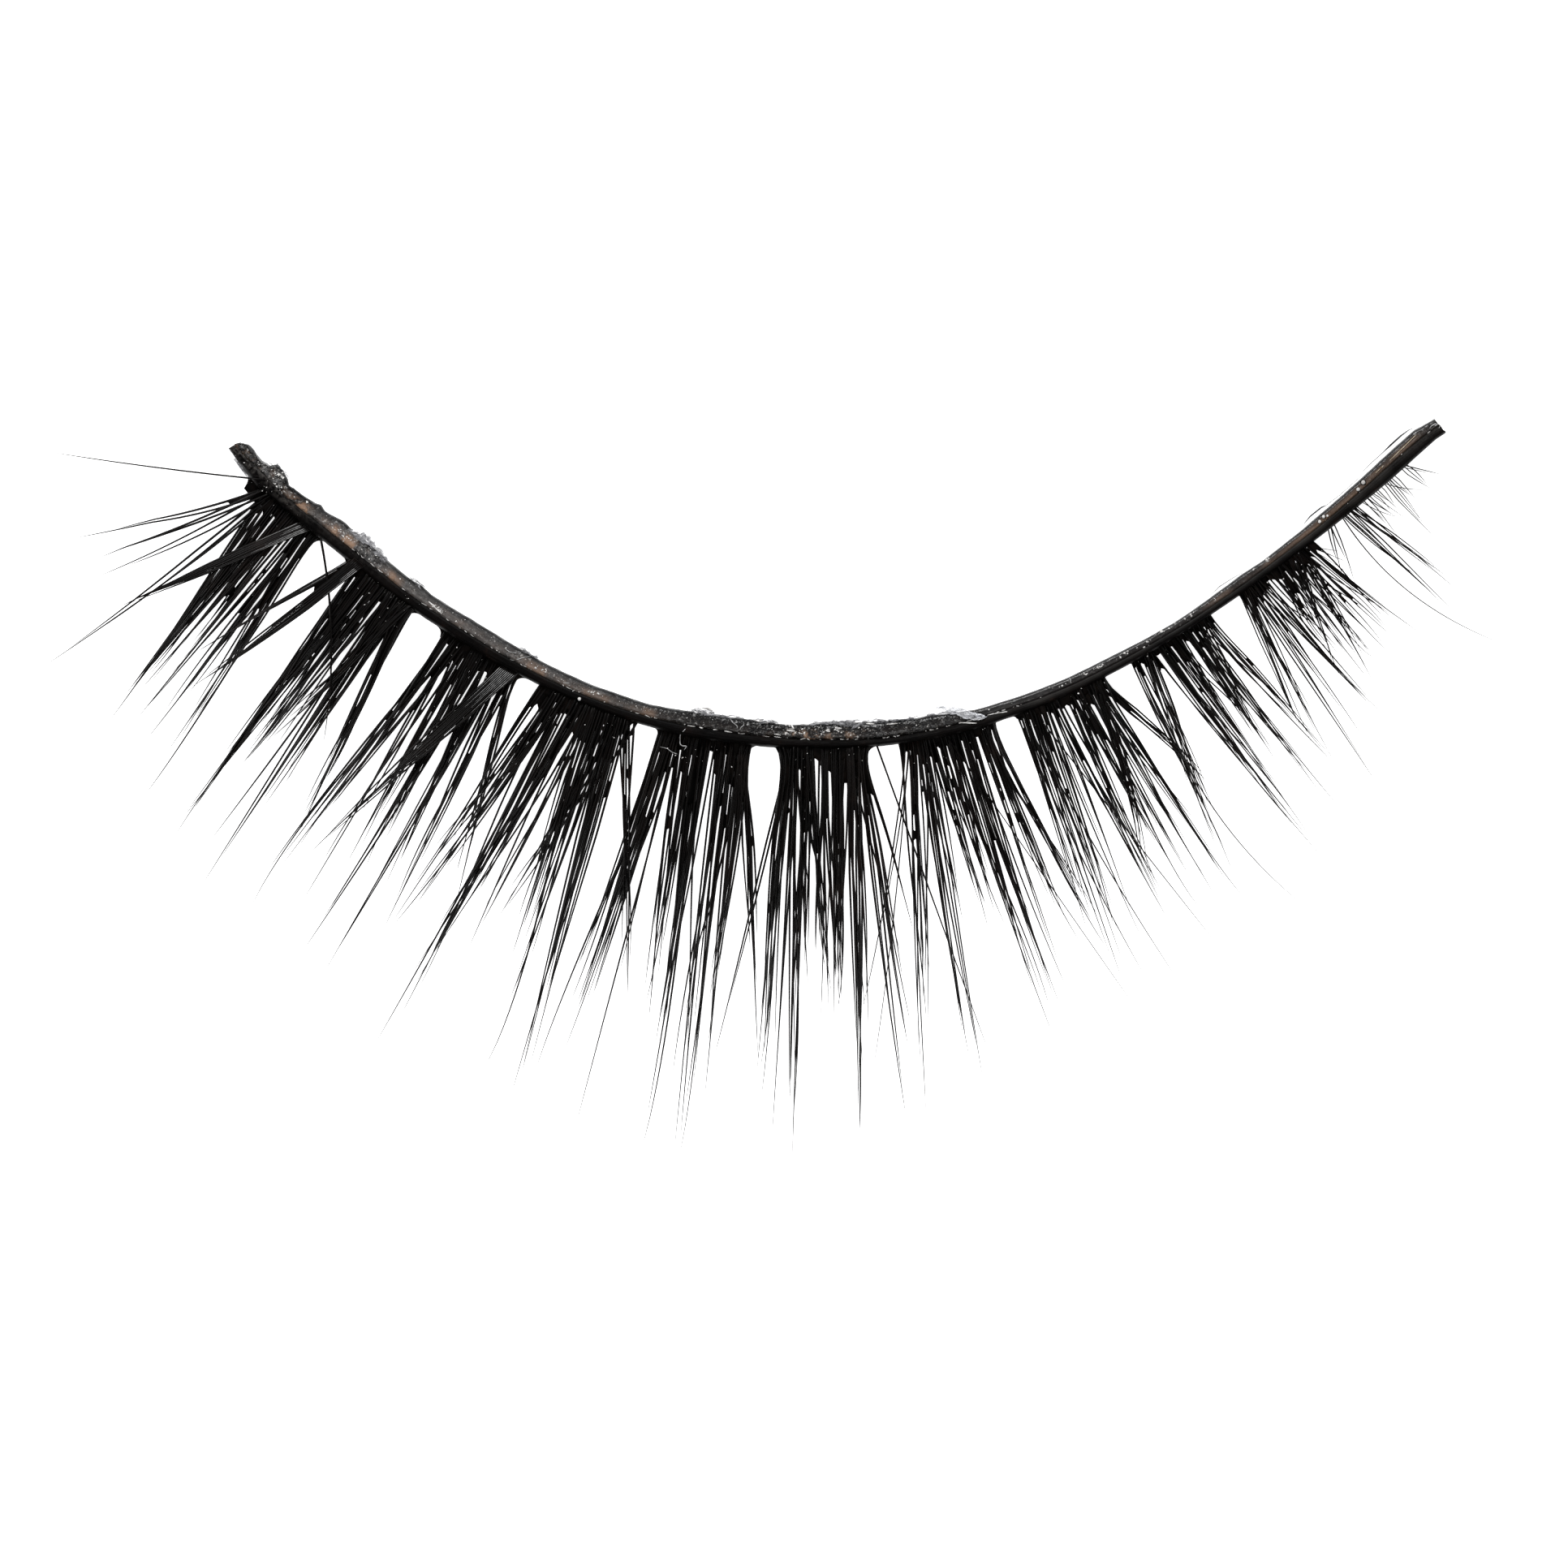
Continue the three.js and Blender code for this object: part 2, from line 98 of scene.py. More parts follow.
# cluster: from, to, layer; hair radius, fillet and depth of the wedge of glue in microns; how far in the
# hairs bend at its two ends, in hundredths of a per cent of the band; and its locks: root, width, tip and
# reach as in the solids, the number of hairs and, if there is one, the bow
CLUSTERS = (
    (2.5, 9.2, 0, 28, 180, 300, 15, 35, (
        (4, 0.5, -2.8, 43, 2, 0.2), (4.1, 0.5, -0.6, 42, 2), (4.2, 0.5, 0.3, 45, 2), (4.4, 0.6, 1.7, 69, 3),
        (7.9, 1.4, 2.3, 47, 8, -0.4), (4.4, 1.2, 6, 69, 8, 0.2), (5.4, 1.1, 5.9, 62, 8),
        (6.1, 0.9, 6.4, 58, 6), (6.7, 0.8, 7, 50, 5), (7.2, 0.8, 7.3, 64, 4), (7.9, 0.9, 8.6, 66, 8),
        (8.6, 0.8, 10.4, 77, 8),
    )),
    (11.7, 17.8, 1, 28, 180, 320, 0, 50, (
        (12.1, 0.5, 7.6, 42, 4, -0.2), (12.4, 0.7, 8.7, 50, 7), (12.8, 0.7, 13.3, 80, 8),
        (13.5, 0.7, 13.2, 66, 8), (14.2, 0.7, 13.9, 58, 8), (14.8, 0.7, 14.3, 56, 8),
        (15.3, 0.6, 15.3, 76, 2), (15.8, 0.7, 16.5, 86, 8), (16.3, 0.7, 16.9, 62, 6),
        (16.9, 0.8, 14.6, 47, 8), (17.2, 0.6, 19.2, 62, 9), (17.4, 0.5, 19, 55, 5),
    )),
    (20, 26.6, 0, 28, 180, 320, 20, 30, (
        (20.4, 0.7, 19.3, 84, 6), (21, 0.7, 19.8, 66, 7), (21.5, 0.6, 21.8, 76, 4),
        (25.7, 1, 20.6, 67, 10, -0.3), (22.3, 0.8, 23, 63, 8), (23, 0.8, 24, 62, 8),
        (23.6, 0.7, 23.3, 86, 3), (24.3, 0.8, 25.3, 63, 7), (24.9, 0.7, 24.7, 88, 3),
        (25.6, 0.7, 26.3, 72, 7), (26.2, 0.5, 28.8, 60, 5),
    )),
    (28.6, 35, 1, 28, 150, 300, 0, 0, (
        (29.1, 0.8, 26.3, 70, 8, -0.2), (29.6, 0.7, 26.8, 70, 7), (30.1, 0.7, 28.6, 97, 7),
        (30.7, 0.6, 28.9, 76, 6), (31.2, 0.6, 29.3, 72, 6), (31.6, 0.5, 30.6, 68, 4),
        (34.2, 0.9, 31.4, 58, 8), (32, 0.7, 32.8, 66, 8), (32.7, 0.7, 33.2, 62, 5),
        (33.3, 0.7, 33.4, 93, 5), (33.9, 0.7, 34.9, 97, 8), (34.4, 0.6, 35.2, 90, 4),
        (34.7, 0.5, 38.7, 69, 5, 0.3),
    )),
    (37, 44.2, 0, 28, 120, 300, 0, 90, (
        (37.3, 0.5, 35.6, 90, 5), (37.7, 0.6, 36.4, 84, 8), (38.1, 0.6, 37, 72, 6),
        (38.4, 0.4, 37.8, 100, 2), (38.8, 0.6, 39.8, 72, 6), (39.4, 0.7, 39.9, 68, 8),
        (40, 0.7, 40.6, 70, 8), (40.7, 0.7, 40.6, 102, 6), (41.4, 0.7, 42, 102, 5),
        (42.1, 0.7, 42.6, 103, 7), (42.8, 0.6, 43.3, 88, 4), (43.3, 0.6, 43, 76, 7),
        (43.8, 0.6, 41.6, 62, 5), (43.4, 0.7, 45.8, 78, 7),
    )),
    (45.2, 52.6, 1, 27, 140, 280, 80, 90, (
        (46.3, 0.4, 43.6, 78, 2), (45.7, 0.6, 45.9, 76, 6), (46.3, 0.6, 45.9, 88, 6),
        (46.7, 0.6, 46.7, 97, 3), (47.1, 0.7, 47.7, 101, 10), (47.6, 0.6, 48.1, 60, 6),
        (47.3, 0.5, 49.6, 62, 5), (48.3, 0.6, 49.1, 68, 6), (48.9, 0.6, 49.3, 66, 4),
        (49.5, 0.7, 49.8, 69, 9), (50.2, 0.7, 49.9, 66, 7), (50.9, 0.6, 50.9, 97, 8),
        (51.5, 0.5, 50.8, 84, 4), (51.6, 0.5, 52.8, 92, 3), (51.9, 0.5, 53.3, 76, 6),
        (52.3, 0.4, 53.9, 48, 2),
    )),
    (54.4, 61.3, 0, 23, 90, 200, 20, 45, (
        (54.7, 0.4, 51.1, 66, 2), (54.8, 0.5, 53.6, 92, 6), (55.2, 0.5, 54.2, 74, 5),
        (55.7, 0.5, 55.8, 80, 5), (56.1, 0.5, 56.3, 86, 3), (56, 0.5, 56.6, 47, 4), (56.6, 0.6, 58, 50, 6),
        (57.4, 0.7, 58.6, 50, 9), (58.3, 0.7, 59.8, 78, 9), (59, 0.7, 60.4, 72, 8), (59.8, 0.6, 61, 68, 4),
        (60.5, 0.7, 62, 58, 9), (61, 0.5, 63.6, 62, 7),
    )),
    (62.7, 69.7, 1, 21, 80, 160, 0, 40, (
        (63, 0.4, 63, 56, 5), (63.5, 0.4, 63.6, 70, 6), (64.1, 0.5, 64.2, 66, 6), (64.7, 0.5, 64.3, 58, 5),
        (65.2, 0.5, 65.3, 62, 4), (65.9, 0.6, 66.7, 60, 5), (66.6, 0.7, 67, 56, 10),
        (67.4, 0.7, 68.2, 54, 9), (68.1, 0.6, 68.8, 62, 6), (69.2, 0.6, 66.8, 48, 8, 0.2),
        (68.7, 0.5, 69.6, 60, 5), (69.1, 0.5, 70.8, 64, 7), (69.4, 0.6, 72.6, 36, 8, 0.2),
    )),
    (71.9, 78.5, 0, 18, 80, 120, 0, 20, (
        (72.3, 0.4, 71, 58, 6), (72.8, 0.4, 71.2, 50, 8), (73.3, 0.4, 71.8, 42, 6),
        (73.9, 0.6, 76.2, 65, 6), (74.3, 0.6, 76, 60, 7), (74.9, 0.6, 76.2, 50, 8),
        (75.6, 0.6, 75.9, 33, 6), (76.3, 0.5, 76.8, 38, 7), (76.8, 0.5, 77, 40, 5), (77.7, 0.5, 77, 34, 7),
        (77.1, 0.5, 78.4, 57, 8), (78.2, 0.5, 80, 48, 8),
    )),
    (81.1, 87.1, 1, 18, 80, 120, 0, 0, (
        (81.4, 0.4, 79.3, 40, 5), (81.7, 0.4, 79.9, 46, 6), (81.9, 0.4, 81.4, 57, 3),
        (82.2, 0.5, 82.4, 46, 5), (82.7, 0.6, 84.2, 45, 8), (83.6, 0.5, 84.2, 24, 7),
        (84.1, 0.5, 84.4, 27, 6), (86.2, 0.5, 83.3, 31, 6), (84.9, 0.5, 85.1, 36, 7),
        (85.4, 0.5, 86, 33, 6), (86.6, 0.4, 85.2, 37, 6), (86.2, 0.5, 87, 34, 4), (86.6, 0.5, 87.8, 31, 6),
        (86.9, 0.4, 89.2, 34, 7),
    )),
    (89, 89.8, 0, 15, 20, 20, 0, 0, (
        (89.3, 0.3, 87.8, 12, 2), (89.5, 0.3, 88.2, 15, 2),
    )),
    (90.1, 91.9, 1, 17, 30, 40, 0, 0, (
        (90.3, 0.3, 93.6, 50, 1, -1.2), (90.8, 0.5, 92.2, 36, 6), (91.4, 0.5, 93.6, 32, 6),
    )),
    (92, 96.6, 0, 12, 20, 20, 0, 0, (
        (92.3, 0.4, 92.6, 13, 3), (92.8, 0.4, 93.4, 9, 3), (93.6, 0.4, 93.85, 8, 3),
        (94.5, 0.4, 94.65, 19.5, 4), (94.9, 0.4, 95.3, 9, 3), (96.1, 0.4, 96.65, 9.5, 3),
    )),
)

CURL_RADIUS = 1.03 * LASH_REACH / (math.sin(TIP_RISE) + math.sin(ROOT_DROOP))


# The band's own coordinates
def walk(arcs, distances):
    """x, y and heading at each distance along the arcs, walked out from the middle."""
    x = np.zeros_like(distances)
    y = np.zeros_like(distances)
    heading = np.zeros_like(distances)
    rest = distances.copy()
    for run, turn in arcs:
        length = run / 100 * BAND_LENGTH
        step = np.clip(rest, 0, length)
        bend = math.radians(turn) / length
        end = heading + bend * step
        x += (np.sin(end) - np.sin(heading)) / bend
        y += (np.cos(heading) - np.cos(end)) / bend
        heading = end
        rest = rest - step
    return x + rest * np.cos(heading), y + rest * np.sin(heading), heading


def band_at(share):
    share = np.asarray(share, float)
    distance = np.abs(share - 0.5) * BAND_LENGTH
    outer = walk(ARCS_TO_OUTER_CORNER, distance)
    inner = walk(ARCS_TO_INNER_CORNER, distance)
    left = share < 0.5
    return (np.where(left, -outer[0], inner[0]), np.where(left, outer[1], inner[1]),
            np.where(left, -outer[2], inner[2]))


def stacked(*parts):
    """Arrays stretched to one shape and laid side by side on a new last axis."""
    return np.stack(np.broadcast_arrays(*parts), axis=-1)


def place(share, out, z):
    """Points out from the centre line, to the lash side, at height z."""
    x, y, heading = band_at(share)
    return stacked(x + np.sin(heading) * out, y - np.cos(heading) * out, z)


EDGE_TABLE = np.array(BAND_EDGES, float)


def edge_out(share, column):
    """How far out the lid edge (1), the seam (2) or the lash edge (3) lies."""
    return -np.interp(np.asarray(share) * 100, EDGE_TABLE[:, 0], EDGE_TABLE[:, column]) / 100 * BAND_WIDTH


def curl_height(out):
    pitch = np.arcsin(np.clip(out / CURL_RADIUS - math.sin(ROOT_DROOP), -0.99, 0.99))
    return ROOT_HEIGHT + CURL_RADIUS * (math.cos(ROOT_DROOP) - np.cos(pitch))


# Noise and meshes
def lumps(points, size, seed):
    """Smooth noise from -1 to 1 at the points, with features of the given size."""
    cell = np.asarray(points, float) / size + seed * 17.3
    base = np.floor(cell).astype(np.int64)
    mix = cell - base
    mix = mix * mix * (3 - 2 * mix)
    total = np.zeros(cell.shape[:-1])
    for corner in itertools.product((0, 1), repeat=3):
        spot = base + corner
        key = (spot[..., 0] * 73856093) ^ (spot[..., 1] * 19349663) ^ (spot[..., 2] * 83492791)
        value = np.sin((key % 100003) * 12.9898) * 43758.5453
        value = 2 * (value - np.floor(value)) - 1
        weight = np.prod(np.where(np.array(corner) == 1, mix, 1 - mix), axis=-1)
        total += weight * value
    return total


def make_piece(name, points, faces, material, slot, uvs=None, smooth=True):
    mesh = bpy.data.meshes.new(name)
    mesh.from_pydata((np.asarray(points) * MM).tolist(), [], faces)
    if smooth:
        mesh.polygons.foreach_set("use_smooth", np.ones(len(mesh.polygons), bool))
    if uvs is not None:
        layer = mesh.uv_layers.new(name="UVMap")
        corners = np.zeros(len(mesh.loops), np.int64)
        mesh.loops.foreach_get("vertex_index", corners)
        layer.data.foreach_set("uv", np.asarray(uvs, np.float32)[corners].ravel())
    mesh.materials.append(material)
    mesh.update()
    piece = add_object(name, mesh)
    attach(piece, "root")
    return piece


def grid_faces(rows, columns, start=0):
    """Quads over rows of points, with the columns running round."""
    row, column = np.meshgrid(np.arange(rows - 1), np.arange(columns), indexing="ij")
    a = start + row * columns + column
    b = start + row * columns + (column + 1) % columns
    return np.stack([a, b, b + columns, a + columns], axis=-1).reshape(-1, 4).tolist()


def capped_faces(rows, columns, start=0):
    """The same quads, with a cap at both ends."""
    first = [start + column for column in reversed(range(columns))]
    last = [start + (rows - 1) * columns + column for column in range(columns)]
    return grid_faces(rows, columns, start) + [first, last]


def closed(ring):
    """Points and faces of a body from the rows of points around it."""
    return ring.reshape(-1, 3), capped_faces(*ring.shape[:2])


def slab(upper, lower):
    """The rows of points around a sheet."""
    return np.concatenate([upper, lower[:, ::-1]], axis=1)


def tubes(paths, radii, sides=6):
    """Points and faces of tapered tubes. paths is (tubes, stations, 3) and radii (tubes, stations)."""
    ahead = np.gradient(paths, axis=1)
    ahead /= np.linalg.norm(ahead, axis=-1, keepdims=True) + 1e-12
    side = np.cross(ahead, np.array([0, 0, 1.0]))
    side /= np.linalg.norm(side, axis=-1, keepdims=True) + 1e-12
    up = np.cross(side, ahead)
    angle = 2 * math.pi * np.arange(sides) / sides
    ring = side[:, :, None, :] * np.cos(angle)[:, None] + up[:, :, None, :] * np.sin(angle)[:, None]
    points = paths[:, :, None, :] + ring * radii[:, :, None, None]
    count, stations = radii.shape
    faces = []
    for tube in range(count):
        faces += capped_faces(stations, sides, tube * stations * sides)
    return points.reshape(-1, 3), faces


def joined(parts):
    """One list of points and of faces from several."""
    points, faces, start = [], [], 0
    for some_points, some_faces in parts:
        points.append(np.asarray(some_points).reshape(-1, 3))
        faces += [[start + index for index in face] for face in some_faces]
        start += len(points[-1])
    return np.concatenate(points), faces


def resampled(rows, steps):
    """The columns of a table, each drawn out evenly to a number of steps."""
    rows = np.array(rows, float)
    at = np.linspace(0, len(rows) - 1, steps)
    return [np.interp(at, np.arange(len(rows)), column) for column in rows.T]


# Materials
class Look:
    """A new material and the nodes that its look is made of."""

    def __init__(self, name):
        self.material = bpy.data.materials.new(name)
        self.material.use_nodes = True
        self.nodes = self.material.node_tree.nodes
        places = self.nodes.new("ShaderNodeTexCoord").outputs
        self.where, self.along = places["Object"], places["UV"]

    def feed(self, socket, value):
        """Links a socket to an output, or sets it to a number or a colour."""
        if isinstance(value, bpy.types.NodeSocket):
            self.material.node_tree.links.new(value, socket)
        else:
            socket.default_value = (*value, 1) if isinstance(value, tuple) else value

    def node(self, kind, inputs):
        """A new node with its inputs fed."""
        node = self.nodes.new("ShaderNode" + kind)
        for name, value in inputs.items():
            self.feed(node.inputs[name], value)
        return node

    def noise(self, scale, detail=4.0, rough=0.55, vector=None):
        vector = self.where if vector is None else vector
        inputs = {"Scale": scale, "Detail": detail, "Roughness": rough, "Vector": vector}
        return self.node("TexNoise", inputs).outputs["Fac"]

    def stretched(self, scale):
        """The band's own coordinates, scaled along and around it, for streaks."""
        node = self.node("Mapping", {"Vector": self.along})
        node.inputs["Scale"].default_value = scale
        return node.outputs["Vector"]

    def ramp(self, source, *stops):
        """A colour ramp. A stop is a place and a colour, or a place and how light a grey."""
        node = self.node("ValToRGB", {"Fac": source})
        elements = node.color_ramp.elements
        while len(elements) < len(stops):
            elements.new(0.5)
        for element, (at, colour) in zip(elements, stops):
            element.position = at
            element.color = (*colour, 1) if isinstance(colour, tuple) else (colour, colour, colour, 1)
        return node.outputs["Color"]

    def bump(self, height, distance, strength, before=None):
        inputs = {"Height": height, "Distance": distance * MM, "Strength": strength}
        if before is not None:
            inputs["Normal"] = before
        return self.node("Bump", inputs).outputs["Normal"]

    def mix(self, factor, first, second):
        node = self.nodes.new("ShaderNodeMix")
        node.data_type = "RGBA"
        self.feed(node.inputs["Factor"], factor)
        self.feed(node.inputs[6], first)
        self.feed(node.inputs[7], second)
        return node.outputs[2]

    def times(self, first, second):
        node = self.node("Math", {0: first, 1: second})
        node.operation = "MULTIPLY"
        node.use_clamp = True
        return node.outputs[0]

    def point_colours(self):
        """Red, green, blue and alpha of the mesh's point colours."""
        node = self.node("Attribute", {})
        node.attribute_name = "look"
        split = self.node("SeparateColor", {"Color": node.outputs["Color"]}).outputs
        return split["Red"], split["Green"], split["Blue"], node.outputs["Alpha"]

    def made(self, colour, roughness, gloss=0.5, normal=None, **others):
        """Feeds the shader and gives the material."""
        inputs = {"Base Color": colour, "Roughness": roughness, "Specular IOR Level": gloss, **others}
        if normal is not None:
            inputs["Normal"] = normal
        for name, value in inputs.items():
            self.feed(self.nodes["Principled BSDF"].inputs[name], value)
        return self.material


def plain_material(name, patches, stops, grain, strength, roughness, gloss=0.5):
    """Patches of colour, given as their noise's scale and detail, over a fine grain."""
    look = Look(name)
    normal = look.bump(look.noise(grain, 2.0), 0.004, strength)
    return look.made(look.ramp(look.noise(*patches), *stops), roughness, gloss, normal)


def bead_material():
    """Black glue with grey painted on where the point colours of its mesh say so: a soft painted sheen where
    the band is smooth and grey mottle with painted glints where it is grainy.
    """
    look = Look("root_bead")
    red, _, _, alpha = look.point_colours()
    black = look.ramp(look.noise(1500.0), (0.4, (0.0022, 0.0019, 0.0019)), (0.62, (0.004, 0.003, 0.0028)),
                      (0.8, (0.02, 0.01, 0.007)))
    # the bead's painted grey: the first noise is grey glue mottle with painted glints, the second a soft
    # painted sheen
    mottle = look.ramp(look.noise(8000.0, 5.0, 0.7), (0.45, 0), (0.62, 1))
    soft = look.ramp(look.noise(1300.0, 3.0), (0.4, 0.05), (0.68, 0.9))
    grey = look.times(look.mix(alpha, soft, mottle), red)
    colour = look.mix(grey, black, (0.36, 0.335, 0.31))
    waves = look.bump(look.noise(5000.0, 3.0), 0.02, 0.6)
    normal = look.bump(look.noise(15000.0, 2.0), 0.005, 0.4, waves)
    return look.made(colour, 0.45, 0.03, normal)


def strip_material():
    """The strip follows its mesh's point colours: red is how grey, which is partly painted sheen, green how
    tan and blue how streaked and how much painted glint it shows.
    """
    look = Look("band_strip")
    red, green, blue, alpha = look.point_colours()
    mottle = look.ramp(look.noise(9000.0, 5.0, 0.72), (0.42, 0.02), (0.53, 0.35), (0.66, 1))
    # streaky grey along the band where it is smooth, partly the strip's own tone and partly painted sheen
    satin_tone_and_sheen = look.noise(1.0, 3.0, vector=look.stretched((2.5, 26.0, 1.0)))
    satin_tone_and_sheen = look.ramp(satin_tone_and_sheen, (0.35, 0.45), (0.65, 0.9))
    grey = look.times(look.mix(alpha, satin_tone_and_sheen, mottle), red)
    colour = look.mix(grey, (0.003, 0.003, 0.0034), (0.34, 0.335, 0.335))
    patches = look.ramp(look.noise(3200.0, 7.0, 0.62), (0.5, 0.03), (0.58, 1))
    tan = look.times(look.mix(alpha, look.times(satin_tone_and_sheen, 0.8), patches), green)
    colour = look.mix(tan, colour, (0.42, 0.26, 0.17))
    lines = look.noise(1.0, 4.0, 0.6, look.stretched((13.0, 60.0, 1.0)))
    streaks = look.times(look.ramp(lines, (0.58, 0), (0.7, 1)), blue)
    colour = look.mix(streaks, colour, (0.6, 0.56, 0.5))
    # painted glints: near-white specks mixed into the colour where blue is high
    sparks = look.ramp(look.noise(13000.0, 3.0, 0.5), (0.61, 0), (0.68, 1))
    broken = look.ramp(look.noise(2600.0, 2.0), (0.45, 0.1), (0.6, 1))
    glints = look.times(look.times(sparks, broken), blue)
    colour = look.mix(glints, colour, (0.9, 0.88, 0.85))
    waves = look.bump(look.times(look.noise(5000.0, 2.0), alpha), 0.06, 1.0)
    normal = look.bump(look.noise(14000.0, 3.0, 0.6), 0.012, 0.9, waves)
    return look.made(colour, 0.27, 0.3, normal)


def clear_material(name, colour, alpha, roughness):
    """Dried clear glue: thin, pale and glossy, and clearer in patches."""
    look = Look(name)
    clear = look.ramp(look.noise(6000.0), (0.35, alpha[0]), (0.65, alpha[1]))
    normal = look.bump(look.noise(9000.0, 3.0), 0.01, 0.6)
    return look.made(colour, roughness, normal=normal, Alpha=clear)


def speck_material(name, low, high, roughness):
    return plain_material(name, (12000.0, 2.0), ((0.35, low), (0.65, high)), 20000.0, 0.5, roughness)


HAIR = plain_material("lash_hair", (900.0, 3.0), (
    (0.35, (0.0022, 0.0018, 0.0017)), (0.6, (0.004, 0.0028, 0.0025)), (0.78, (0.012, 0.0075, 0.006)),
), 14000.0, 0.3, 0.38, 0.1)
WEB = plain_material("root_web", (2500.0, 3.0), (
    (0.45, (0.0022, 0.0019, 0.0018)), (0.7, (0.008, 0.0055, 0.0045)),
), 9000.0, 0.3, 0.5, 0.02)
BEAD = bead_material()
STRIP = strip_material()
FLAKE = clear_material("glue_flake", (0.45, 0.45, 0.47), (0.2, 0.75), 0.15)
CRYSTAL = clear_material("glue_crystal", (0.8, 0.81, 0.84), (0.1, 1.0), 0.06)
FILM = clear_material("glue_film", (0.75, 0.76, 0.78), (0.05, 0.16), 0.08)
# near white: the colour of pale glue crumbs and of the painted glints and highlights on specks, bubbles, seam
# and streaks
SPECK = speck_material("glue_speck_and_glint", (0.5, 0.48, 0.46), (0.95, 0.94, 0.92), 0.15)
THREAD = speck_material("glue_thread", (0.3, 0.3, 0.3), (0.7, 0.7, 0.7), 0.25)
# colour of the painted highlight lines along the leaning hairs' roots
SHEEN = speck_material("hair_sheen", (0.2, 0.2, 0.2), (0.45, 0.45, 0.45), 0.3)
# near black: a painted dark reflection along the clear film's edge
EDGE = speck_material("film_edge", (0.012, 0.012, 0.013), (0.05, 0.05, 0.055), 0.3)
# gold: partly amber glue, partly the colour of a painted reflection
GOLD = speck_material("amber_glue_and_reflection", (0.3, 0.2, 0.1), (0.9, 0.8, 0.62), 0.15)

# The hairs. Places along the band are in per cent of it, thicknesses and distances out in mm, and the two
# depths of web, below the thinnest of which a cluster has no glue and from the full one all of it, in microns.
STATIONS = 24
CLUMP_SIZE = 3.2
CLUMP_SPACING = 0.145
CLUMP_LENGTHS = (0.88, 1.0)
SHORTENING = 0.36
LONGEST_HAIR = 1.03
ROOT_SPREAD = 0.12
ROOT_DEPTH = 0.14
CROSSING_SHARE = 0.38
CROSSING_SWAP = 0.8
LEANING = 3.4
LEANING_LIFT = 0.2
LEANING_SPACING = 0.135
LINED_SHARE = 0.7
PINCH_WIDTH = 1.3
PINCH_OUT = 0.7
THINNEST_WEB = 50
FULL_WEB = 300
WEB_STEP = 0.02
WEB_ROUNDING = 0.5
OUTER_CORNER_DEPTH = 0.3
GLUE_THICKNESS = 0.036
GLUE_STATIONS = 7
GLUE_COLUMNS = 4
GLUE_GAP = (0.1, 0.2)
BRIDGE_GAP = (0.056, 0.078)
BRIDGE_OUT = np.arange(0.5, 3.0, 0.05)
BRIDGES_PER_HAIR = 2.4


def spread(count):
    """That many places evenly from -1 to 1."""
    return (np.arange(count) + 0.5) / count * 2 - 1


def radius_along(part, size):
    """A hair's radius: full for most of its length, then down to a fine tip."""
    return size * np.maximum(1 - part ** 2.2, 0.0) ** 0.7 + 0.0008


def pinch_at(share, past_edge, cluster):
    """How far in a cluster's ends bend, in per cent of the band, at a share and a distance out."""
    start, end, *_, start_bend, end_bend, _ = cluster
    inward = start_bend / 100 * np.clip(1 - (share - start) / PINCH_WIDTH, 0, 1)
    inward = inward - end_bend / 100 * np.clip(1 - (end - share) / PINCH_WIDTH, 0, 1)
    past = np.maximum(past_edge / PINCH_OUT, 0)
    return inward * past * np.exp(1 - past)


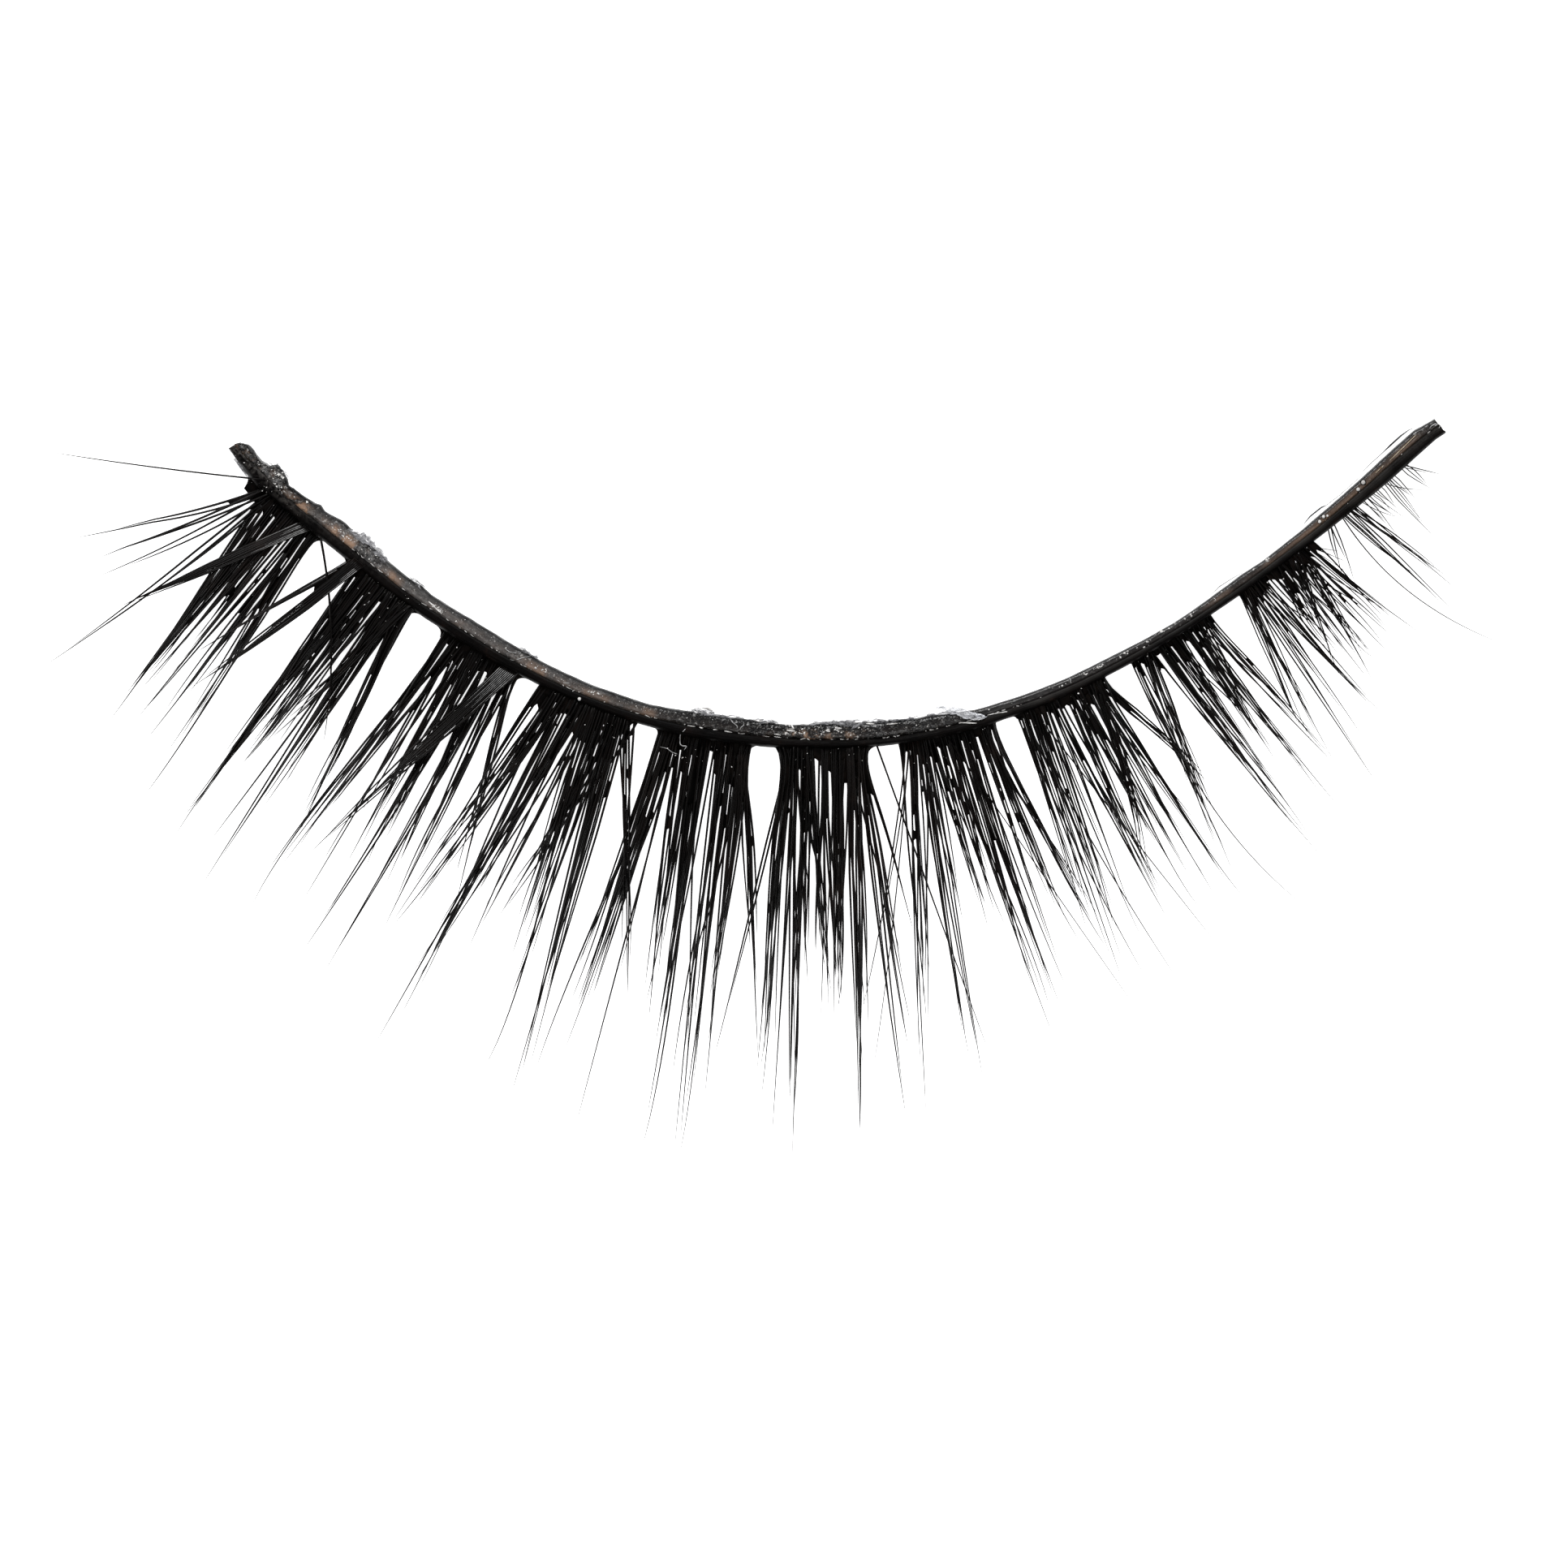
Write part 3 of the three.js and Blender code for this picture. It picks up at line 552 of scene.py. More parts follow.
def lock_hairs(rng, row, cluster, lift, size):
    """Share, out, height and radius along each hair of one lock. The roots are spread out, the tips clump."""
    root, width, tip, reach, count, bow = (*row, 0)[:6]
    start, end, layer = cluster[:3]
    places = spread(count)
    leaning = root - tip > LEANING and count > 2
    crossing = (rng.random(count) < CROSSING_SHARE) & (count > 3) & (not leaning)
    roots = root + (places + rng.normal(0, 0.1, count)) * (0.5 * width + ROOT_SPREAD)
    swap = np.where(crossing, rng.uniform(-CROSSING_SWAP, CROSSING_SWAP, count), 0)
    roots = np.clip(roots, start + 0.4 * rng.random(count), end - 0.4 * rng.random(count))
    if leaning:
        roots = root + places * count * LEANING_SPACING / 2
    clumps = 1 if leaning else max(1, round(count / CLUMP_SIZE))
    clump = (np.arange(count) * clumps) // count
    gather = rng.permutation(spread(clumps)) * rng.uniform(0.1, 0.4)
    beside = np.zeros(count)
    length = np.zeros(count)
    for number in range(clumps):
        inside = np.flatnonzero(clump == number)
        order = np.arange(len(inside)) - (len(inside) - 1) / 2
        beside[inside] = order * (LEANING_SPACING if leaning else CLUMP_SPACING * rng.uniform(0.75, 1.25))
        length[inside] = rng.uniform(*CLUMP_LENGTHS) * (1 - SHORTENING * rng.random(len(inside)) ** 1.5)
    length[rng.integers(count)] = LONGEST_HAIR
    share_of = np.linspace(0, 1, STATIONS)[None, :]
    along = share_of * length[:, None]
    middle = root + (tip - root) * along + bow * 4 * along * (1 - along)
    near = (roots - root)[:, None] * np.clip(1 - along, 0, 1) ** 1.7
    if leaning:
        near = near * np.maximum(1 - along * 3, 0)
    cross = swap[:, None] * np.cos(math.pi * along) * np.sqrt(np.clip(1 - along, 0, 1))
    far = gather[clump][:, None] * along ** 1.5 * (1 if count > 3 else 0.5)
    apart = beside[:, None] * np.minimum(along * 3, 1) * (1 - 0.95 * share_of ** 2)
    sway = rng.normal(0, 0.02 if leaning else 0.07, count)[:, None] * np.sin(math.pi * along)
    inner = (edge_out(roots / 100, 3) - ROOT_DEPTH)[:, None]
    out = inner + (reach / 100 * LASH_REACH - inner) * along
    pinch = pinch_at(roots[:, None], out - inner, cluster) * (not leaning)
    share = (middle + near + cross + pinch + far + apart + sway) / 100
    rise = rng.uniform(-0.03, 0.05, count)[:, None]
    rise = rise + rng.normal(0, 0.12, clumps)[clump][:, None] * along ** 2
    if leaning:
        rise = 0 * rise
    radius = radius_along(share_of + np.zeros_like(along), size * rng.uniform(0.85, 1.12, count)[:, None])
    height = np.maximum(curl_height(out) + layer * LAYER_STEP + lift + rise, radius + 0.01)
    return share, out, height, radius


def gap_between(first, second, level):
    """How far apart two hairs are at a distance out. A hair is its share, out and height."""
    return np.abs(np.interp(level, first[1], first[0]) - np.interp(level, second[1], second[0])) * BAND_LENGTH


def glue_patch(first, second, start, end, open_start):
    """A thin sheet of glue between two hairs. Its free ends are hollowed out as a meniscus is."""
    across = np.linspace(0, 1, GLUE_COLUMNS)
    hollow = np.sqrt(1 - (2 * across - 1) ** 2) * 0.8
    low = start + gap_between(first, second, start) * hollow * open_start
    high = np.maximum(end - gap_between(first, second, end) * hollow, low + 0.01)
    level = low + (high - low) * np.linspace(0, 1, GLUE_STATIONS)[:, None]
    share, height = (np.interp(level, first[1], first[column]) * (1 - across)
                     + np.interp(level, second[1], second[column]) * across for column in (0, 2))
    middle = place(share, level, height)
    half = np.array([0, 0, GLUE_THICKNESS / 2])
    return closed(slab(middle + half, middle - half))


def root_glue(rng, hairs, glued):
    """Sheets from the bead down between the hairs whose roots are neighbours."""
    hairs = sorted(hairs, key=lambda hair: hair[0][0])
    parts = []
    for first, second in zip(hairs, hairs[1:]):
        reach = np.linspace(-0.08, (0.2 + rng.gamma(1.5, 0.34)) * glued, 24)
        levels = edge_out(first[0][0], 3) + reach
        narrow = gap_between(first, second, levels) < rng.uniform(*GLUE_GAP)
        if not narrow[0]:
            continue
        last = len(levels) if narrow.all() else int(np.argmin(narrow))
        if last > 4:
            parts.append(glue_patch(first, second, levels[0], levels[last - 1], False))
    return parts


def bridges(rng, hairs, count):
    """Small sheets further out, where two hairs cross or run side by side, which blunt the gaps' ends."""
    levels = BRIDGE_OUT
    share = np.array([np.interp(levels, hair[1], hair[0], right=np.nan) for hair in hairs])
    parts = []
    for _ in range(count):
        at = int(len(levels) * rng.random() ** 1.3)
        there = np.flatnonzero(~np.isnan(share[:, at]))
        if len(there) < 3:
            continue
        order = there[np.argsort(share[there, at])]
        pick = rng.integers(len(order) - 1)
        one, other = order[pick], order[pick + 1]
        gap = np.abs(share[one] - share[other]) * BAND_LENGTH
        limit = rng.uniform(*BRIDGE_GAP)
        if not gap[at] < limit:
            continue
        reach = rng.integers(2, 6)
        low = high = at
        while low > max(at - reach, 0) and gap[low - 1] < limit:
            low -= 1
        while high < min(at + reach, len(levels) - 1) and gap[high + 1] < limit:
            high += 1
        if high - low > 2:
            parts.append(glue_patch(hairs[one], hairs[other], levels[low], levels[high], True))
    return parts


def lash_hairs(index, cluster):
    rng = np.random.default_rng(100 + index)
    size, glued, locks = cluster[3] / 1000, cluster[5] / FULL_WEB, cluster[-1]
    parts = []
    for order, row in enumerate(locks):
        lift = LOCK_LIFTS[order % len(LOCK_LIFTS)] / 100 * LOCK_THICKNESS
        if row[0] - row[2] > LEANING:
            lift += LEANING_LIFT
        parts.append(lock_hairs(rng, row, cluster, lift, size))
    share, out, height, radius = (np.concatenate(column) for column in zip(*parts))
    name = f"{index + 1:02d}"
    piece = make_piece("lash_hair_" + name, *tubes(place(share, out, height), radius), HAIR, "lash_hair")
    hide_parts("lash_cluster_" + name)
    hairs = list(zip(share, out, height))
    leans = np.concatenate([np.full(row[4], row[0] - row[2] > LEANING) for row in locks])
    upright = [hair for hair, leant in zip(hairs, leans) if not leant]
    sheets = root_glue(rng, hairs, glued)
    sheets += bridges(rng, upright, int(BRIDGES_PER_HAIR * glued ** 2 * len(upright)))
    if cluster[5] > THINNEST_WEB:
        make_piece("hair_glue_" + name, *joined(sheets), WEB, "root_bead")
    # painted highlights: pale lines along the leaning hairs near their roots
    lines = root_lines(rng, hairs, locks, size)
    if lines:
        make_piece("root_lines_" + name, *joined(lines), SHEEN, "root_bead")


def root_lines(rng, hairs, locks, size):
    """Painted highlights: thin pale lines along the tops of the strongly leaning hairs near their roots,
    standing in for the light those hairs catch there.
    """
    parts = []
    first = 0
    for root, _, tip, _, count, *_ in locks:
        if root - tip > LEANING and count > 2:
            lined = rng.random(count) < LINED_SHARE
            for share, out, height in itertools.compress(hairs[first:first + count], lined):
                levels = out[0] + 0.2 + np.linspace(0, rng.uniform(0.4, 1.3), 12)
                path = place(np.interp(levels, out, share), levels, np.interp(levels, out, height) + size)
                parts.append(tubes(path[None], np.linspace(0.008, 0.002, 12)[None], 5))
        first += count
    return parts


def root_web(index, cluster):
    """The wedge of glue along a cluster's roots, with a hollow fillet at both ends."""
    start, end, layer, _, fillet, web = cluster[:6]
    fillet, web = fillet / 1000, web / 1000
    length = (end - start) / 100 * BAND_LENGTH
    along = np.linspace(-fillet, length + fillet, int((length + 2 * fillet) / WEB_STEP))
    share = start / 100 + along / BAND_LENGTH
    outside = np.clip(np.maximum(-along, along - length), 0, fillet)
    corner_depth = np.where((along < length / 2) & (index == 0), OUTER_CORNER_DEPTH, fillet)
    corner = corner_depth * (1 - np.sqrt(np.clip(1 - (1 - outside / fillet) ** 2, 0, None)))
    spots = stacked(along, index * 3.0, 0.0)
    depth = web * (1 + 0.33 * lumps(spots, 0.4, 4) + 0.27 * lumps(spots, 0.12, 6))
    inside = np.clip(np.minimum(along, length - along) / WEB_ROUNDING, 0, 1)
    deeper = (depth - corner_depth) * inside * inside * (3 - 2 * inside)
    depth = np.maximum(np.where(outside > 0, corner, corner_depth + deeper), 0.002)
    steps = np.linspace(0, 1, 9)
    near = (edge_out(share, 3) - ROOT_DEPTH)[:, None]
    out = near + (depth + ROOT_DEPTH)[:, None] * steps
    half = 0.06 * np.sqrt(np.clip(1 - steps ** 1.5, 0, 1))
    size = np.clip(depth / 0.2, 0.25, 1)[:, None]
    middle = curl_height(out) + layer * LAYER_STEP - 0.03
    share = share[:, None] + pinch_at(share[:, None] * 100, out - near, cluster) / 100
    top = place(share, out, middle + half * size)
    low = place(share, out, np.maximum(middle - half * size, 0.01))
    ring = np.concatenate([top, low[:, ::-1][:, 1:-1]], axis=1)
    make_piece(f"root_web_{index + 1:02d}", *closed(ring), WEB, "root_bead")


# The band
# at, how grey (its own grey and painted sheen), how tan and how streaked (streaks and painted glints) the
# strip looks there, in per cent, the size of its lumps in microns, and how grey the bead is with painted sheen
# and grey mottle, in per cent
STRIP_LOOK = (
    (0, 22, 15, 50, 35, 24), (1, 34, 25, 70, 40, 24), (2.5, 34, 25, 70, 40, 18), (3, 70, 10, 80, 50, 14),
    (3.9, 85, 10, 90, 50, 12), (4.8, 50, 12, 70, 40, 14), (6, 14, 35, 30, 22, 12),
    (6.4, 25, 95, 40, 18, 10), (7.2, 30, 90, 35, 18, 9), (7.7, 40, 15, 25, 14, 7), (9.2, 60, 40, 50, 14, 5),
    (9.5, 80, 95, 90, 16, 4), (11.2, 90, 90, 100, 18, 3), (11.6, 85, 15, 80, 22, 3),
    (13.5, 70, 10, 70, 22, 3), (14.5, 60, 40, 40, 12, 2), (14.8, 60, 100, 50, 12, 2),
    (15.5, 50, 90, 30, 10, 2), (16, 62, 12, 30, 12, 1), (18, 54, 14, 30, 12, 1), (21, 54, 22, 28, 12, 0),
    (25, 52, 10, 35, 12, 0), (26.4, 55, 40, 60, 14, 0), (26.6, 45, 100, 40, 10, 0),
    (27.8, 45, 95, 25, 8, 0), (28.3, 46, 15, 35, 12, 0), (30, 48, 25, 50, 12, 0), (32, 42, 60, 40, 11, 0),
    (34, 36, 10, 40, 12, 0), (35.4, 28, 30, 40, 10, 0), (35.7, 30, 95, 40, 10, 0),
    (36.3, 28, 90, 40, 10, 0), (36.7, 20, 15, 40, 12, 0), (38, 12, 6, 40, 16, 0), (40, 7, 2, 35, 16, 0),
    (42, 6, 2, 25, 16, 0), (43.5, 6, 2, 40, 20, 0), (45.4, 6, 4, 30, 24, 0), (45.9, 12, 40, 75, 26, 0),
    (48, 12, 60, 75, 26, 0), (48.5, 7, 5, 40, 24, 0), (49.3, 12, 45, 75, 26, 0), (51.3, 12, 35, 75, 22, 0),
    (51.9, 6, 3, 40, 20, 0), (54, 5, 2, 30, 18, 0), (56, 6, 2, 25, 18, 0), (58, 12, 2, 50, 18, 0),
    (60, 10, 2, 20, 9, 2), (62, 12, 2, 8, 6, 5), (66, 12, 2, 6, 6, 5), (69, 12, 3, 12, 7, 4),
    (72, 11, 3, 14, 6, 3), (75, 12, 3, 14, 6, 3), (78, 14, 5, 14, 6, 3), (79.5, 26, 50, 20, 6, 4),
    (80.5, 22, 45, 15, 6, 4), (81, 11, 8, 8, 6, 4), (83.4, 14, 18, 12, 6, 4), (84, 26, 60, 25, 6, 5),
    (84.8, 14, 30, 10, 6, 4), (87, 15, 65, 5, 6, 5), (90, 15, 65, 5, 6, 6), (93, 16, 60, 8, 6, 7),
    (95, 14, 40, 10, 6, 8), (97.5, 18, 55, 20, 8, 9), (98.6, 14, 8, 30, 12, 9), (100, 14, 6, 40, 16, 9),
)
LOOK_TABLE = np.array(STRIP_LOOK, float)


def look_at(share, column):
    """One column of the look table along the band, as a part of one."""
    return np.interp(share * 100, LOOK_TABLE[:, 0], LOOK_TABLE[:, column]) / 100


def band_look(mesh, share, out, near, far, on_strip):
    """Point colours: grey on the strip's face, partly its own grey and partly painted sheen, rising towards
    the seam; tan towards the seam; dark at the lid edge and on the bead, where a painted sheen and grey mottle
    fade towards the lash edge.
    """
    across = np.clip((out - near) / (far - near), 0, 1)
    # the face's grey rises from dark at the lid edge to full at the seam; the lighter seam side is partly
    # painted sheen
    face = np.clip(across * 6 - 0.5, 0, 1) * (0.5 + 0.5 * across)
    if on_strip:
        grey = look_at(share, 1) * face
        tan = look_at(share, 2) * np.clip(across * 2.6 - 0.6, 0, 1)
        streaked = look_at(share, 3) * face
    else:
        # the bead's grey: painted sheen and grey mottle, strongest on the seam side and fading towards the
        # lash edge
        grey = look_at(share, 5) * np.clip(1.3 - 1.5 * across, 0, 1)
        tan = grey * 0.5
        streaked = grey * 2
    grain = np.clip((look_at(share, 4) * 100 - 5) / 18, 0.08, 1)
    colours = stacked(grey, tan, streaked, grain)
    layer = mesh.color_attributes.new("look", "FLOAT_COLOR", "POINT")
    layer.data.foreach_set("color", colours.astype(np.float32).ravel())


def bulged(value, power):
    """The value's size to a power, with its sign kept."""
    return np.sign(value) * np.abs(value) ** power


SKIN_STATIONS = 900
SKIN_COLUMNS = 28
END_LENGTH = 0.5
OUTER_SLANT = 0.3
INNER_SLANT = -0.02


def skin(node, column, overlaps, height, power, seed, rough, material):
    """A band-long body with a rounded section and a lumpy surface. Section columns start at the lid side."""
    share = np.linspace(0, 1, SKIN_STATIONS)[:, None]
    near = edge_out(share, column) + overlaps[0]
    far = edge_out(share, column + 1) + overlaps[1]
    angle = math.pi - 2 * math.pi * np.arange(SKIN_COLUMNS) / SKIN_COLUMNS
    across, above = bulged(np.cos(angle), 2 / power), bulged(np.sin(angle), 2 / power)
    above = np.where(above < 0, bulged(above, 0.35), above)
    out = (near + far) / 2 + (far - near) / 2 * across
    z = height / 2 * (1 + above) + np.zeros_like(out)
    z = np.where((above > 0.05) & (across < 0) & (node == "root_bead"), np.maximum(z, 0.95 * STRIP_HEIGHT), z)
    spots = stacked(share * BAND_LENGTH, out, z)
    swell = lumps(spots, 0.42, seed) + 0.5 * lumps(spots, 0.16, seed + 1)
    swell = look_at(share, 4) * rough * (swell + 0.25 * lumps(spots, 0.07, seed + 2))
    out = out + swell * across
    z = np.maximum(z + swell * np.maximum(above, 0), 0.0)
    fade = np.clip(1 - np.minimum(share, 1 - share) * BAND_LENGTH / END_LENGTH, 0, 1)
    side = np.where(share < 0.5, 1, -1)
    lean = np.where(share < 0.5, OUTER_SLANT, INNER_SLANT)
    shift = side * fade * (-lean * out + 0.03 * lumps(spots[:, :, [1, 2, 0]], 0.08, seed + 5))
    points = place(share + shift / BAND_LENGTH, out, z)
    uvs = stacked(share * BAND_LENGTH, np.arange(SKIN_COLUMNS) / SKIN_COLUMNS)
    piece = make_piece(node + "_skin", *closed(points), material, node, uvs.reshape(-1, 2))
    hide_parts(node)
    band_look(piece.data, share, out, near, far, node == "band_strip")


for number, one in enumerate(CLUSTERS):
    lash_hairs(number, one)
    if one[5] > THINNEST_WEB:
        root_web(number, one)

skin("band_strip", 1, (0, 0.05), STRIP_HEIGHT, 3.2, 11, 0.1, STRIP)
skin("root_bead", 2, (0.01, 0), BEAD_HEIGHT, 2.6, 21, 0.07, BEAD)


# Glue seam with its painted highlight, threads and stray hairs
def top_height(share, out):
    """About how high the strip or the bead is there."""
    seam = edge_out(share, 2)
    lid = edge_out(share, 1)
    lash = edge_out(share, 3)
    across_strip = np.clip((out - lid) / (seam - lid), 0, 1)
    on_strip = STRIP_HEIGHT * (1 - 0.25 * np.abs(2 * across_strip - 1) ** 3)
    across_bead = np.clip((out - seam) / (lash - seam), 0, 1)
    on_bead = BEAD_HEIGHT * (1 - 0.45 * np.abs(2 * across_bead - 1) ** 2.6)
    return np.where(out < seam, on_strip, on_bead)


def line_tube(rows, size, lift, steps=28):
    """A smooth tube through rows of (share, out) laid on the band, thickest in the middle."""
    share, out = resampled(rows, steps)
    share /= 100
    for _ in range(2):
        share[1:-1] = (share[:-2] + 2 * share[1:-1] + share[2:]) / 4
        out[1:-1] = (out[:-2] + 2 * out[1:-1] + out[2:]) / 4
    path = place(share, out, top_height(share, out) + lift)
    radius = size * (0.25 + 0.75 * np.sin(math.pi * np.linspace(0.02, 0.98, steps)) ** 0.5)
    return tubes(path[None], radius[None])


# from, to and how much of the seam shows as a bright line there, in per cent; the line is a glue ridge
# coloured near white, a painted highlight
SEAM_LINES = (
    (11.3, 16.4, 90), (17, 25.6, 75), (26, 31.5, 60), (31.5, 36.8, 45), (38.7, 42.1, 97), (42.1, 45, 55),
    (45, 50.5, 60), (51, 57, 30), (57.6, 62.2, 75), (62.2, 69, 35),
)


# bright seam line: near-white glue ridges along the seam, a painted highlight
def seam_line():
    rng = np.random.default_rng(41)
    parts = []
    for start, end, shown in SEAM_LINES:
        at = start
        while at < end:
            run = rng.uniform(0.12, 0.75)
            if rng.random() * 100 < shown:
                stops = np.linspace(at, at + run, 4)
                out = edge_out(stops / 100, 2) + rng.normal(0.0, 0.012, 4)
                size = rng.uniform(0.006, 0.012) * (2 if shown > 95 else 1.3)
                parts.append(line_tube(list(zip(stops, out)), size, 0.03, 8))
            at += run + rng.uniform(0.03, 0.25)
    make_piece("glue_seam_highlight", *joined(parts), SPECK, "band_strip")


# radius in mm, then the line's points: share in per cent and out in mm
THREADS = (
    (0.012, ((38.85, 0.23), (38.55, 0.39), (38.62, 0.5), (38.7, 0.617), (38.9, 0.644), (39.2, 0.62),
             (39.05, 0.73))),
    (0.007, ((37.4, 0.78), (37.9, 0.781), (38.25, 0.84), (38.65, 0.861))),
    (0.01, ((41.9, -0.19), (42.1, -0.12), (42.5, -0.04), (42.5, 0.02))),
    (0.008, ((25.25, 0.16), (25.6, 0.12), (26, -0.02), (26.5, -0.16))),
    (0.009, ((29, 0.08), (29.35, 0.1), (29.9, 0.04))), (0.008, ((24.6, -0.02), (25, -0.01), (25.5, -0.06))),
    (0.006, ((42.9, -0.16), (42.95, -0.08), (42.75, -0.02), (42.7, 0.04))),
    (0.012, ((99.7, -0.17), (99.95, -0.15), (100.05, -0.09), (99.8, -0.06))),
    (0.01, ((99.3, -0.2), (99.5, -0.22), (99.85, -0.2), (99.95, -0.16))),
    (0.008, ((67.3, -0.19), (67.35, -0.13), (67.2, -0.06))),
)
# glossy streaks coloured near white: partly pale glue, partly painted highlights
STREAKS = (
    (0.03, ((39.7, -0.345), (40.2, -0.35), (40.55, -0.31))), (0.024, ((40.3, -0.25), (40.7, -0.28))),
    (0.025, ((43.7, -0.23), (44.2, -0.21), (44.7, -0.19))),
    (0.028, ((50.1, -0.33), (50.8, -0.29), (51.3, -0.28))), (0.018, ((51.9, -0.25), (52.5, -0.23))),
    (0.02, ((46.1, -0.06), (46.7, -0.05))), (0.016, ((53.4, -0.2), (54.2, -0.2))),
    (0.016, ((49.6, -0.16), (50.1, -0.15))), (0.014, ((45.2, 0.05), (45.7, 0.07))),
    (0.02, ((46.4, -0.2), (46.6, -0.1))), (0.022, ((18.1, -0.02), (18.5, 0), (18.9, 0.03), (19.6, 0.06))),
    (0.016, ((58, 0), (58.8, 0.03), (59.85, 0.12))), (0.017, ((60.75, 0), (61.4, 0.02), (62.2, 0.05))),
    (0.011, ((84, -0.15), (84.2, -0.12))), (0.014, ((98.95, -0.14), (99.2, -0.14))),
)
# gold streaks: partly amber glue, partly a painted reflection
AMBER = (
    (0.015, ((61.7, 0.166), (62.1, 0.17), (62.6, 0.18))),
    (0.01, ((95.6, -0.22), (96.8, -0.25), (98.2, -0.29))), (0.008, ((94.2, -0.2), (95, -0.22))),
)


def glue_lines(name, rows, material, lift):
    parts = [line_tube(path, size, lift) for size, path in rows]
    make_piece(name, *joined(parts), material, "band_strip")


seam_line()
glue_lines("glue_threads", THREADS, THREAD, 0.02)
glue_lines("glue_streaks_and_highlights", STREAKS, SPECK, 0.012)
glue_lines("amber_glue_and_reflection", AMBER, GOLD, 0.01)

# root share, root out, tip share, tip out, sideways bow, radius and lift; shares in per cent, lengths in mm
STRAY_HAIRS = (
    (3.35, 0.08, -8.85, 3.38, -0.04, 0.021, 0.48), (9.1, 0.27, 17.55, 4.18, -0.22, 0.028, 0.5),
    (73.2, 0.1, 73.95, 7.4, 0.65, 0.017, 0.4), (87, 0.1, 88.5, 0.95, 0, 0.008, 0.16),
    (87.1, 0.1, 88.7, 1.1, 0, 0.008, 0.16), (86.9, 0.1, 88.9, 0.8, 0, 0.007, 0.16),
    (87, 0.1, 88.2, 1.25, 0, 0.007, 0.16), (92.1, 0.1, 93.6, 1, 0.05, 0.009, 0.16),
    (94.2, 0.1, 96.4, 0.9, 0.05, 0.009, 0.16), (96.2, 0.1, 97.9, 0.85, 0, 0.012, 0.16),
    (96, 0.1, 97.2, 0.6, 0, 0.008, 0.16), (93, 0.1, 94, 1.3, 0, 0.008, 0.16),
    (52.5, 0.2, 56.8, 7.9, 0, 0.022, 0.16), (54.9, 0.2, 51.4, 8.2, -0.1, 0.016, 0.16),
    (62.8, 0.2, 64.8, 7.2, 0.1, 0.02, 0.16), (63.2, 0.2, 66.2, 7.6, 0.1, 0.018, 0.16),
    (64, 0.2, 68.6, 7.2, 0, 0.016, 0.16), (57.5, 0.2, 64, 8, 0, 0.014, 0.16),
)


def stray_hairs():
    """Single hairs, straight in plan apart from a sideways bow."""
    along = np.linspace(0, 1, STATIONS)
    paths, radii = [], []
    for root, start, tip, end, bow, size, lift in STRAY_HAIRS:
        first, last = place(root / 100, start, 0.0), place(tip / 100, end, 0.0)
        side = np.array([last[1] - first[1], first[0] - last[0], 0]) / np.linalg.norm(last - first)
        path = first + (last - first) * along[:, None] + side * bow * (4 * along * (1 - along))[:, None]
        path[:, 2] = curl_height(start + (end - start) * along) + lift
        paths.append(path)
        radii.append(radius_along(along, size))
    make_piece("stray_hairs", *tubes(np.stack(paths), np.stack(radii)), HAIR, "lash_hair")


stray_hairs()


# Specks, bubbles, flakes and film; the near-white specks and bubbles are partly painted glints
def ball(turn, rise, height):
    """Rows of points on a ball of radius one, at each angle round and up, with its height scaled."""
    rise = rise[:, None]
    return stacked(np.cos(rise) * np.cos(turn), np.cos(rise) * np.sin(turn), height * np.sin(rise))


def blob(rng, centre, size):
    """A small smooth drop, a little longer one way."""
    turn = 2 * math.pi * np.arange(7) / 7 + rng.uniform(0, math.pi) + rng.uniform(-0.25, 0.25, 7)
    rows = ball(turn, np.array([-1.2, -0.55, 0.1, 0.75, 1.25]), 0.8)
    rows = rows * rng.uniform(0.7, 1.3, rows.shape[:2])[..., None]
    rows = rows * np.array([rng.uniform(0.9, 2.0), 1.0, 0.8])
    spin = rng.uniform(-0.7, 0.7)
    sine, cosine = math.sin(spin), math.cos(spin)
    return closed(centre + size * (rows @ np.array([[cosine, sine, 0], [-sine, cosine, 0], [0, 0, 1]])))


# from, to, how many specks, and the part of the band's width that they lie on, from 0 at the lid edge to 1 at
# the lash edge
SPECK_FIELDS = (
    (0.5, 5.2, 70, 0.05, 0.6), (0.5, 9, 16, 0.6, 0.98), (5.2, 11, 40, 0.1, 0.5), (11, 17, 40, 0.1, 0.5),
    (12, 18, 8, 0.6, 0.95), (18, 26, 26, 0.1, 0.5), (26, 37, 46, 0.1, 0.5), (38, 45.5, 44, 0.03, 0.5),
    (45.5, 52, 80, 0, 0.6), (52, 57, 34, 0, 0.5), (57, 63, 26, 0.05, 0.5), (63, 70, 16, 0.1, 0.5),
    (70, 79, 18, 0.1, 0.5), (79, 90, 6, 0.1, 0.5), (90, 99.5, 7, 0.05, 0.6), (17, 26, 70, 0.4, 0.5),
    (26, 37.5, 150, 0.28, 0.5), (11, 17, 30, 0.4, 0.52), (2.6, 9, 9, 0.95, 2.2), (12, 17.5, 16, 0.95, 2.2),
    (20, 26.5, 10, 0.95, 2), (28.6, 35, 10, 0.95, 2.2), (37, 44, 16, 0.95, 2.2),
    (45.4, 52.4, 16, 0.95, 2.2), (54.5, 61, 12, 0.95, 2), (63, 69.5, 12, 0.95, 2), (72, 78.4, 10, 0.95, 2),
    (81.3, 87, 8, 0.95, 1.9),
)
